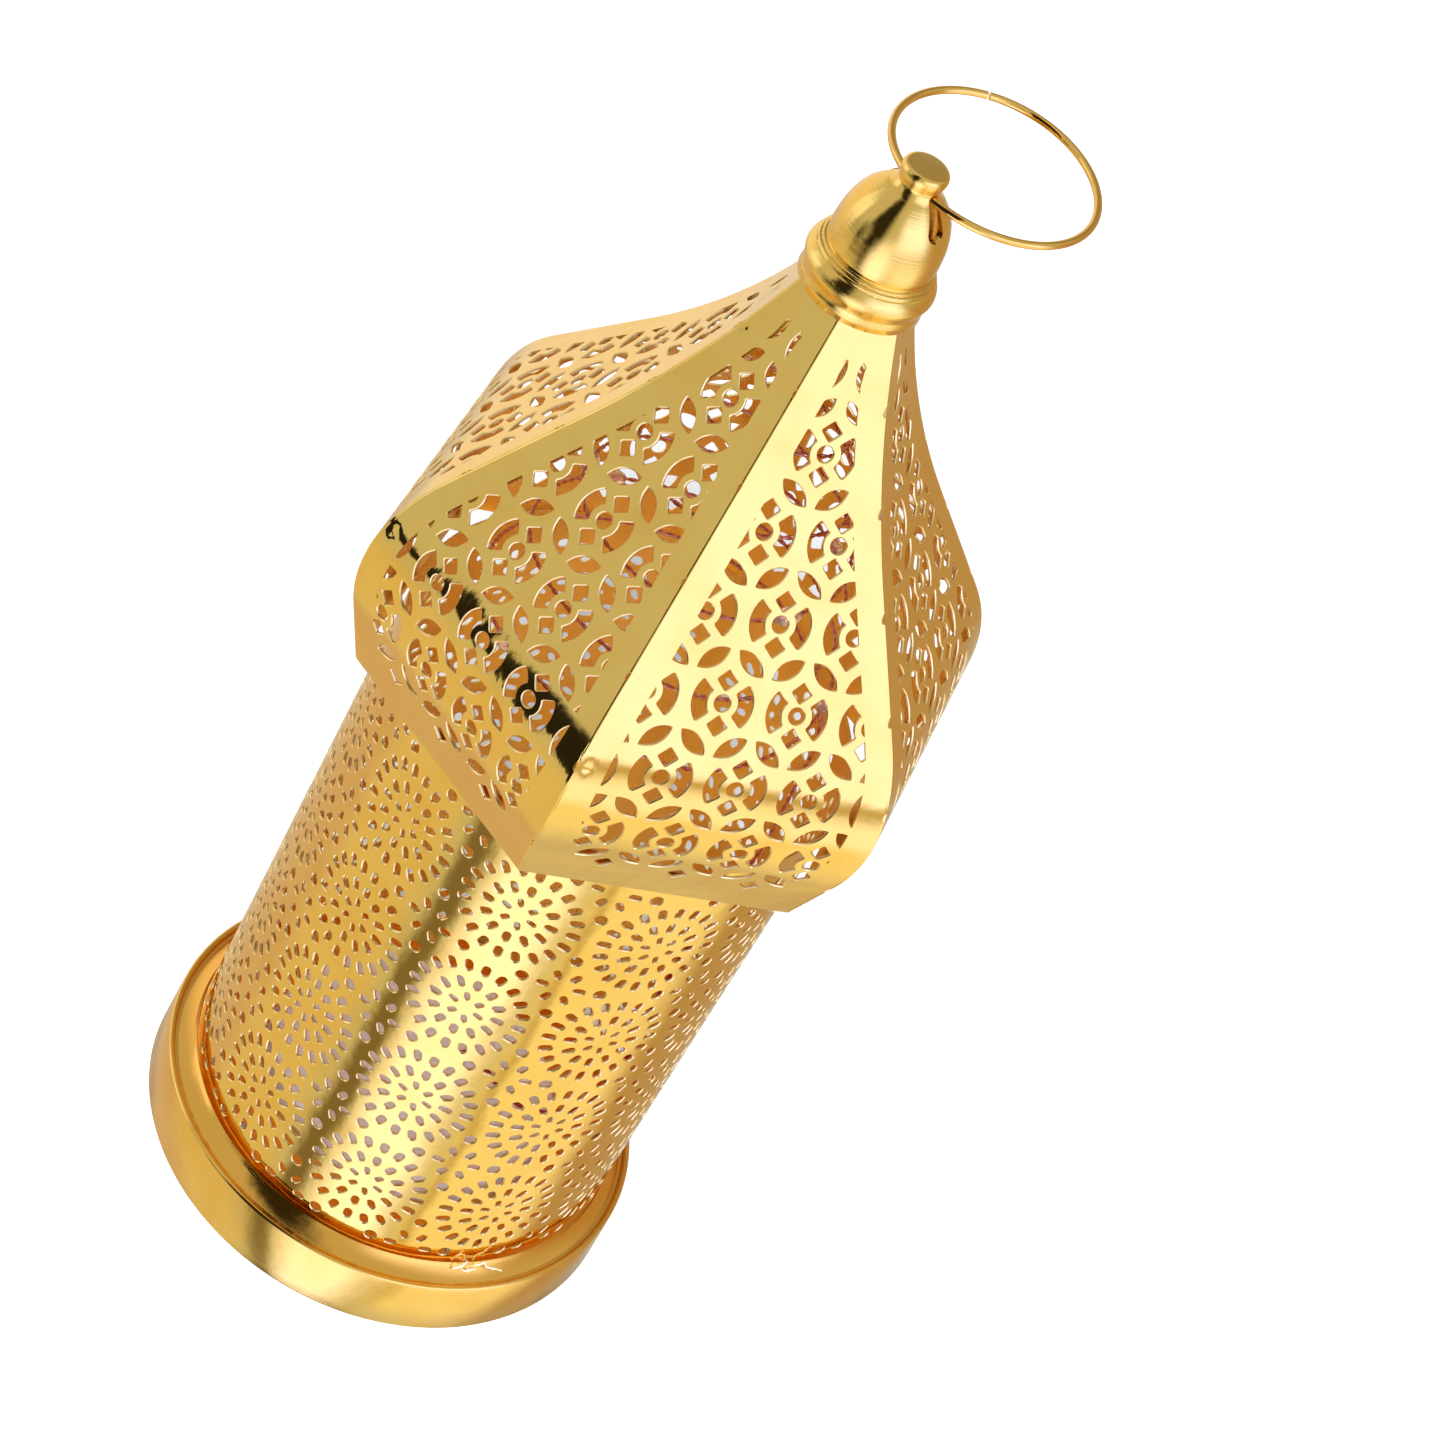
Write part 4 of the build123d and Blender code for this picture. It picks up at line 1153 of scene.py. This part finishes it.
# ---------------------------------------------------------------- cells and springs
# Three small round cells in printed wraps lie side by side in the box. A conical steel spring presses on
# the flat end of each, and a flat plate takes the raised end.
def wrapped_cell(name, wrap, band):
    """Printed film over a steel can: two colours met by a line, crimped steel at the ends."""
    made, tree, shader = new_material(name)
    place = put(tree, "ShaderNodeTexCoord").outputs["Object"]
    along = put(tree, "ShaderNodeSeparateXYZ", {0: place}).outputs[1]
    at_end = calc(tree, "GREATER_THAN", calc(tree, "ABSOLUTE", along), 0.0211)
    banded = calc(tree, "GREATER_THAN", along, 0.010)
    cloud = noise(tree, place, 220.0, 4.0)
    film = blend(tree, banded, (*wrap, 1), (*band, 1))
    worn = blend(tree, calc(tree, "MULTIPLY", cloud, 0.25), film, (0.3, 0.3, 0.3, 1))
    whole = blend(tree, at_end, worn, (0.7, 0.69, 0.66, 1))
    plug(tree, shader, {"Base Color": whole, "Metallic": at_end,
                        "Roughness": calc(tree, "ADD", 0.22, calc(tree, "MULTIPLY", cloud, 0.15))})
    bump(tree, shader, cloud, 0.00004)
    return made


cell_wrap = wrapped_cell("cell_wrap", (0.03, 0.05, 0.035), (0.55, 0.33, 0.12))
cell_r = 0.00525
for number in (1, 2, 3):
    cell_low, cell_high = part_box(f"battery_{number}")
    way = 1 if number != 2 else -1
    length = cell_high.y - cell_low.y
    can = length - 0.001
    outline = [(0.0, 0.0), (0.0032, 0.0), (0.0034, 0.0002), (0.0046, 0.0002)]
    outline += arc((cell_r - 0.0005, 0.0005), 0.0005, -90, 0, 4)
    outline += arc((cell_r - 0.0006, can - 0.0006), 0.0006, 0, 80, 4)
    outline += [(0.0030, can + 0.0), (0.0021, can + 0.0001), (0.0019, can + 0.0003), (0.0019, length - 0.0002)]
    outline += [(0.0017, length), (0.0, length)]
    cell = turned(f"battery_{number}_cell", outline, cell_wrap, 48)
    laid = Matrix.Rotation(radians(-90 * way), 4, "X")
    foot = Vector(((cell_low.x + cell_high.x) / 2, cell_low.y if way > 0 else cell_high.y,
                   (cell_low.z + cell_high.z) / 2))
    cell.data.transform(Matrix.Translation(foot) @ laid)
    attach(cell, "lantern")
    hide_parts(f"battery_{number}")
dress("contact_springs", steel_material)


# ---------------------------------------------------------------- resistor
# A tiny lacquered resistor between the switch and the lead, with painted bands and tinned legs.
def lacquered_resistor():
    """Sand-coloured lacquer with four painted bands, tinned wire beyond the body."""
    made, tree, shader = new_material("resistor_lacquer")
    place = put(tree, "ShaderNodeTexCoord").outputs["Object"]
    along = put(tree, "ShaderNodeSeparateXYZ", {0: place}).outputs[1]
    speck = noise(tree, place, 1500.0, 2.0)
    colour = blend(tree, speck, (0.62, 0.47, 0.30, 1), (0.52, 0.38, 0.23, 1))
    bands = [(-0.0011, (0.35, 0.13, 0.02)), (-0.0005, (0.02, 0.02, 0.02)), (0.0001, (0.45, 0.05, 0.03)),
             (0.0011, (0.50, 0.35, 0.10))]
    for at, paint in bands:
        near = calc(tree, "LESS_THAN", calc(tree, "ABSOLUTE", calc(tree, "SUBTRACT", along, at)), 0.00018)
        colour = blend(tree, near, colour, (*paint, 1))
    leg = calc(tree, "GREATER_THAN", calc(tree, "ABSOLUTE", along), 0.00171)
    whole = blend(tree, leg, colour, (0.7, 0.7, 0.7, 1))
    plug(tree, shader, {"Base Color": whole, "Metallic": leg, "Roughness": 0.32})
    bump(tree, shader, speck, 0.00002)
    return made


dress("resistor", lacquered_resistor())


# ---------------------------------------------------------------- lead wire
# A red-sleeved lead rises from the box and climbs inside the tube to the light string.
def soft_line(name, places):
    """Smooth open line that follows a wire's route."""
    data = bpy.data.curves.new(name, "CURVE")
    data.dimensions = "3D"
    data.resolution_u = 12
    spline = data.splines.new("NURBS")
    spline.points.add(len(places) - 1)
    for point, (x, y, z) in zip(spline.points, places):
        point.co = (x * mm, y * mm, z * mm, 1)
    spline.order_u = 3
    spline.use_endpoint_u = True
    made = bpy.data.objects.new(name, data)
    bpy.context.scene.collection.objects.link(made)
    return made


def followed(line):
    """Close points along a smooth line."""
    ready = line.evaluated_get(bpy.context.evaluated_depsgraph_get())
    mesh = bpy.data.meshes.new_from_object(ready)
    places = [v.co.copy() for v in mesh.vertices]
    bpy.data.objects.remove(line)
    return places


def even_steps(places, step):
    """The same line at even distances."""
    out = [places[0]]
    carried = 0.0
    for before, after in zip(places, places[1:]):
        length = (after - before).length
        while carried + length >= step:
            share = (step - carried) / length
            before = before.lerp(after, share)
            out.append(before.copy())
            length = (after - before).length
            carried = 0.0
        carried += length
    return out


def red_sleeve():
    """Soft red vinyl sleeve, dusty and slightly uneven."""
    made, tree, shader = new_material("red_sleeve")
    place = put(tree, "ShaderNodeTexCoord").outputs["Object"]
    cloud = noise(tree, place, 180.0, 4.0)
    tint = blend(tree, cloud, (0.42, 0.02, 0.015, 1), (0.24, 0.012, 0.01, 1))
    plug(tree, shader, {"Base Color": tint, "Roughness": calc(tree, "ADD", 0.3, calc(tree, "MULTIPLY", cloud, 0.2))})
    bump(tree, shader, cloud, 0.0001)
    return made


lead_d = 0.0013
lead_route = [(6, 8, 17.0), (6, 8, 24.0), (13, 1, 28.0), (24, -7, 31.5), (33, -9, 42.0), (36, -2, 56.0),
              (34, 6, 72.0), (35, 9, 86.0)]
lead_points = even_steps(followed(soft_line("lead_line", lead_route)), 0.0008)
lead = tube_along("lead_wire_sleeved", lead_points, lead_d / 2, 12, red_sleeve())
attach(lead, "lantern")
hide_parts("lead_wire")


# ---------------------------------------------------------------- light string
# Two enamelled copper wires twisted together, wound loosely inside the shade, with a drop of clear
# resin over each tiny lamp.
def enamelled_copper():
    """Copper under clear enamel, browner where it was heated."""
    made, tree, shader = new_material("enamelled_copper")
    place = put(tree, "ShaderNodeTexCoord").outputs["Object"]
    cloud = noise(tree, place, 70.0, 3.0)
    tint = blend(tree, cloud, (0.93, 0.46, 0.30, 1), (0.72, 0.27, 0.15, 1))
    plug(tree, shader, {"Base Color": tint, "Metallic": 1.0, "Coat Weight": 0.6, "Coat Roughness": 0.08,
                        "Roughness": calc(tree, "ADD", 0.18, calc(tree, "MULTIPLY", cloud, 0.15))})
    return made


coil_turns = 5
coil_steps = 8
coil_foot = (38.0, 143.0)
coil_top = (13.0, 214.0)
string_route = [lead_route[-1], (37, 12, 104.0), (36, 14, 122.0)]
coil_route = []
for i in range(coil_turns * coil_steps + 1):
    share = i / (coil_turns * coil_steps)
    angle = radians(25 + 360 * i / coil_steps)
    wander = 1.0 + 0.05 * sin(2.3 * i)
    coil_radius = (coil_foot[0] + (coil_top[0] - coil_foot[0]) * share ** 1.3) * wander
    coil_height = coil_foot[1] + (coil_top[1] - coil_foot[1]) * share + 1.6 * sin(1.7 * i)
    coil_route.append((coil_radius * cos(angle), coil_radius * sin(angle), coil_height))
string_points = even_steps(followed(soft_line("string_line", string_route + coil_route)), 0.0006)
strand_r = 0.00024
twist_pitch = 0.0042
copper = enamelled_copper()
strands = []
for strand in (0, 1):
    places = []
    side = None
    for i, here in enumerate(string_points):
        run = (string_points[min(i + 1, len(string_points) - 1)] - string_points[max(i - 1, 0)]).normalized()
        if side is None:
            side = run.orthogonal().normalized()
        side = (side - run * side.dot(run)).normalized()
        turn = 2 * pi * 0.0006 * i / twist_pitch + pi * strand
        places.append(here + (side * cos(turn) + run.cross(side) * sin(turn)) * strand_r * 0.92)
    strands.append(tube_along("light_string_strand", places, strand_r, 6, copper))
with bpy.context.temp_override(active_object=strands[0], selected_editable_objects=strands):
    bpy.ops.object.join()
light_string = strands[0]
light_string.name = "light_string_twisted"
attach(light_string, "lantern")
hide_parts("light_string")


def clear_resin():
    """Clear cured resin over a small yellow chip."""
    made, tree, shader = new_material("clear_resin")
    place = put(tree, "ShaderNodeTexCoord").outputs["Object"]
    cloud = noise(tree, place, 500.0, 2.0)
    tint = blend(tree, cloud, (0.98, 0.93, 0.80, 1), (0.95, 0.86, 0.66, 1))
    plug(tree, shader, {"Base Color": tint, "Transmission Weight": 0.9, "IOR": 1.5,
                        "Roughness": calc(tree, "ADD", 0.03, calc(tree, "MULTIPLY", cloud, 0.08))})
    bump(tree, shader, cloud, 0.0001)
    return made


bulb_outline = [(0.0, -0.0030), (0.00045, -0.0029), (0.0009, -0.0024), (0.0014, -0.0015), (0.0018, -0.0004),
                (0.0018, 0.0005), (0.0014, 0.0015), (0.0009, 0.0022), (0.00045, 0.0028), (0.0, 0.0030)]
resin = clear_resin()
drops = []
for i in range(1, coil_turns * coil_steps, 3):
    here = (Vector(coil_route[i]) + Vector(coil_route[i + 1])) / 2 * mm
    nearest = min(range(len(string_points)), key=lambda k: (string_points[k] - here).length_squared)
    low = max(1, min(len(string_points) - 2, nearest))
    run = (string_points[low + 1] - string_points[low - 1]).normalized()
    drop = turned("drop", bulb_outline, resin, 20)
    drop.data.transform(Matrix.Translation(string_points[low]) @ run.to_track_quat("Z", "Y").to_matrix().to_4x4())
    drops.append(drop)
with bpy.context.temp_override(active_object=drops[0], selected_editable_objects=drops):
    bpy.ops.object.join()
string_bulbs = drops[0]
string_bulbs.name = "string_bulbs_resin"
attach(string_bulbs, "lantern")
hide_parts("string_bulbs")


# ---------------------------------------------------------------- glue
# Clear hot-melt glue: beads inside the foot of the tube, and thin strings of it that dried on the rim.
def hot_glue():
    """Cloudy clear glue with a waxy shine."""
    made, tree, shader = new_material("hot_glue")
    place = put(tree, "ShaderNodeTexCoord").outputs["Object"]
    cloud = noise(tree, place, 300.0, 4.0)
    tint = blend(tree, cloud, (0.97, 0.96, 0.92, 1), (0.90, 0.86, 0.76, 1))
    plug(tree, shader, {"Base Color": tint, "Transmission Weight": 0.75, "IOR": 1.48,
                        "Roughness": calc(tree, "ADD", 0.12, calc(tree, "MULTIPLY", cloud, 0.2))})
    bump(tree, shader, cloud, 0.0004)
    return made


glue = hot_glue()
beads = []
bead_inner = tube_r - sheet
for k in range(5):
    a = radians(20 + 72 * k)
    outline = [(0.0, 0.0), (0.0021, 0.0), (0.0022, 0.0004), (0.0019, 0.0011), (0.0012, 0.0018), (0.0005, 0.0022),
               (0.0, 0.0023)]
    bead = turned("bead", outline, glue, 24)
    stretch = Matrix.Diagonal((0.85, 1.0, 1.0, 1.0))
    bead.data.transform(Matrix.Translation(((bead_inner - 0.0021) * cos(a), (bead_inner - 0.0021) * sin(a), deck_z))
                        @ Matrix.Rotation(a, 4, "Z") @ stretch)
    for vertex in bead.data.vertices:
        vertex.co.z += 0.0002 * sin(vertex.co.x * 2600 + k) * min(1.0, (vertex.co.z - deck_z) / 0.001)
    beads.append(bead)
with bpy.context.temp_override(active_object=beads[0], selected_editable_objects=beads):
    bpy.ops.object.join()
glue_beads = beads[0]
glue_beads.name = "glue_beads_cast"
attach(glue_beads, "lantern")
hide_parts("glue_beads")

wisp_at = radians(37)
wisps = []
wisp_lines = [
    [(0.0, -0.5, 0.5), (0.6, 0.6, 1.6), (-0.2, 1.9, 2.6), (-0.9, 2.4, 1.6), (-0.3, 1.5, 0.7), (0.9, 0.9, 1.0),
     (1.6, 2.2, 1.6)],
    [(-0.4, 4.2, 0.6), (0.3, 4.6, 1.7), (0.0, 5.6, 2.4), (0.8, 6.1, 1.4), (0.3, 6.9, 0.6)],
    [(0.5, 6.0, 1.2), (1.3, 7.4, 1.5), (2.0, 9.0, 1.3)],
    [(0.2, 2.4, 0.4), (0.9, 3.2, 0.9), (0.4, 4.4, 0.6)]]
for line in wisp_lines:
    route = []
    for out, along, up in line:
        a = wisp_at + along * mm / tube_r
        r = tube_r + 0.0010 + out * mm
        route.append((r * sin(a) / mm, -r * cos(a) / mm, deck_z / mm - 1.3 + up))
    smooth = even_steps(followed(soft_line("wisp_line", route)), 0.00015)
    wisps.append(tube_along("wisp", smooth, lambda t: 0.00017 * (1 - 0.5 * t) + 0.00008 * sin(9 * t) ** 2, 8, glue))
with bpy.context.temp_override(active_object=wisps[0], selected_editable_objects=wisps):
    bpy.ops.object.join()
glue_wisps = wisps[0]
glue_wisps.name = "glue_wisps"
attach(glue_wisps, "lantern")


# ---------------------------------------------------------------- studio
# A pale floor that is clear from below, one soft lamp near the camera, and an even white tent. Polished
# metal shows only what stands round it, so light and dark cards are painted on the tent by direction, for
# its reflections alone.
def pale_floor():
    """Matt pale card with a trace of grain, clear from underneath."""
    made, tree, shader = new_material("pale_floor")
    place = put(tree, "ShaderNodeTexCoord").outputs["Object"]
    cloud = noise(tree, place, 3.0, 3.0)
    tint = blend(tree, cloud, (0.74, 0.74, 0.76, 1), (0.72, 0.72, 0.74, 1))
    plug(tree, shader, {"Base Color": tint, "Roughness": 0.8, "Specular IOR Level": 0.1})
    under = put(tree, "ShaderNodeNewGeometry").outputs["Backfacing"]
    clear = put(tree, "ShaderNodeBsdfTransparent").outputs[0]
    both = put(tree, "ShaderNodeMixShader", {0: under, 1: shader.outputs[0], 2: clear}).outputs[0]
    tree.links.new(both, next(node for node in tree.nodes if node.type == "OUTPUT_MATERIAL").inputs["Surface"])
    return made


floor_size = 40.0
floor_mesh = bpy.data.meshes.new("floor")
floor_mesh.from_pydata([(-floor_size, -floor_size, 0), (floor_size, -floor_size, 0), (floor_size, floor_size, 0),
                        (-floor_size, floor_size, 0)], [], [(0, 1, 2, 3)])
floor_mesh.materials.append(pale_floor())
floor = bpy.data.objects.new("floor", floor_mesh)
bpy.context.scene.collection.objects.link(floor)
floor.visible_glossy = False
floor.visible_diffuse = False
floor.visible_shadow = False


def card(tree, bearing, up, middle, half, soft):
    """A soft-edged rectangle of the surroundings, 1 inside, by azimuth and elevation in degrees."""
    shares = []
    for value, centre, reach in ((bearing, middle[0], half[0]), (up, middle[1], half[1])):
        off = calc(tree, "ABSOLUTE", calc(tree, "SUBTRACT", value, centre))
        ends = {"Value": off, "From Min": reach + soft, "From Max": reach - soft}
        shares.append(put(tree, "ShaderNodeMapRange", ends, interpolation_type="SMOOTHSTEP").outputs[0])
    return calc(tree, "MULTIPLY", *shares)


world = bpy.data.worlds.new("light_tent")
bpy.context.scene.world = world
world.use_nodes = True
tent = world.node_tree
tent.nodes.clear()
axes = put(tent, "ShaderNodeSeparateXYZ", {0: put(tent, "ShaderNodeTexCoord").outputs["Generated"]}).outputs
across = calc(tent, "DEGREES", calc(tent, "ARCTAN2", axes[0], calc(tent, "MULTIPLY", axes[1], -1.0)))
up = calc(tent, "DEGREES", calc(tent, "ARCSINE", axes[2]))
behind = calc(tent, "ABSOLUTE", across)
pinch = put(tent, "ShaderNodeMapRange", {"Value": across, "From Min": -57.4, "From Max": -53.6, "To Min": 0.22,
                                         "To Max": 1.2}, interpolation_type="SMOOTHSTEP").outputs[0]
wedge_drop = 14.0
wedge = calc(tent, "DIVIDE", calc(tent, "ADD", up, wedge_drop), pinch)
tone = (0.60, 0.60, 0.58, 1)
black, glint = (0.02, 0.018, 0.015), (2.2, 2.2, 2.2)
cards = [
    (behind, up, (170, 36), (38, 20), 14, (0.36, 0.32, 0.28)),
    (across, up, (128, -20), (36, 45), 16, (0.50, 0.35, 0.19)),
    (across, up, (-132, -4), (38, 24), 10, (0.96, 0.86, 0.80)),
    (across, up, (-132, -56), (40, 24), 8, (0.66, 0.51, 0.37)),
    (across, up, (-86, 6), (14, 20), 4, (1.15, 1.15, 1.4)),
    (across, up, (-68, -50), (28, 24), 10, (0.75, 0.64, 0.42)),
    (across, up, (54, 14), (30, 32), 12, (1.35, 1.45, 2.6)),
    (across, up, (8, -45), (20, 40), 10, (1.45, 1.50, 2.4)),
    (across, up, (72, -45), (34, 20), 12, (1.02, 0.94, 0.74)),
    (across, up, (57, -30), (33, 9), 6, (1.25, 1.25, 1.7)),
    (across, up, (42, -52), (2.5, 24), 3, (0.66, 0.56, 0.38)),
    (across, up, (-25, -52), (6.5, 34), 4, (0.22, 0.18, 0.12)),
    (across, up, (0, -90), (400, 14), 3, (0.12, 0.08, 0.05)),
    (across, wedge, (-47, 0), (31, 11), 2.0, black),
    (across, up, (-24, 33), (19, 44), 2.0, (0.03, 0.025, 0.02)),
    (across, up, (55, -15), (34, 3.5), 3.5, (0.62, 0.52, 0.36)),
    (across, up, (-44, -9), (1.5, 2.0), 0.6, glint),
    (across, up, (-38, -12), (1.5, 2.0), 0.6, glint),
    (across, up, (-36, -4), (1.5, 2.0), 0.6, glint)]
colour = tone
for bearing, height, middle, half, soft, paint in cards:
    mask = card(tent, bearing, height, middle, half, soft)
    colour = blend(tent, mask, colour, (*paint, 1))
even = put(tent, "ShaderNodeBackground", {"Color": (1, 1, 1, 1), "Strength": 0.62}).outputs[0]
backdrop = put(tent, "ShaderNodeBackground", {"Color": (1, 1, 1, 1), "Strength": 1.05}).outputs[0]
painted = put(tent, "ShaderNodeBackground", {"Color": colour, "Strength": 1.0}).outputs[0]
paths = put(tent, "ShaderNodeLightPath").outputs
lit = put(tent, "ShaderNodeMixShader", {0: paths["Is Camera Ray"], 1: even, 2: backdrop}).outputs[0]
mixed = put(tent, "ShaderNodeMixShader", {0: paths["Is Glossy Ray"], 1: lit, 2: painted}).outputs[0]
put(tent, "ShaderNodeOutputWorld", {"Surface": mixed})

key_light = bpy.data.lights.new("key_light", "AREA")
key_light.shape = "DISK"
key_light.size = 0.9
key_light.energy = 175
key_light_object = bpy.data.objects.new("key_light", key_light)
key_place = Vector((0.04, -1.86, 1.80))
key_light_object.location = key_place
key_light_object.rotation_euler = (key_place - Vector((0, 0.1, 0.05))).to_track_quat("Z", "Y").to_euler()
key_light_object.visible_glossy = False
bpy.context.scene.collection.objects.link(key_light_object)

target = Vector((0, 0, 0.12))
distance = 0.77663
elevation = 0.7281934
swing, tip, roll = 0.0232383, -0.0197538, -0.5181526
seat = target + Vector((0, -distance * cos(elevation), distance * sin(elevation)))
ahead = (target - seat).normalized()
right = ahead.cross(Vector((0, 0, 1))).normalized()
upright = right.cross(ahead)
facing = (Matrix.Rotation(roll, 3, "Z") @ Matrix.Rotation(tip, 3, "X") @ Matrix.Rotation(swing, 3, "Y")
          @ Matrix((right, upright, -ahead)))
camera_data = bpy.data.cameras.new("camera")
camera_data.sensor_width = 36.0
camera_data.lens = 103.36
camera_data.clip_start = 0.01
camera = bpy.data.objects.new("camera", camera_data)
camera.matrix_world = (Matrix.Rotation(radians(1.338), 4, "Z")
                       @ Matrix.Translation(seat) @ facing.transposed().to_4x4())
bpy.context.scene.collection.objects.link(camera)
bpy.context.scene.camera = camera
bpy.context.scene.view_settings.view_transform = "Standard"
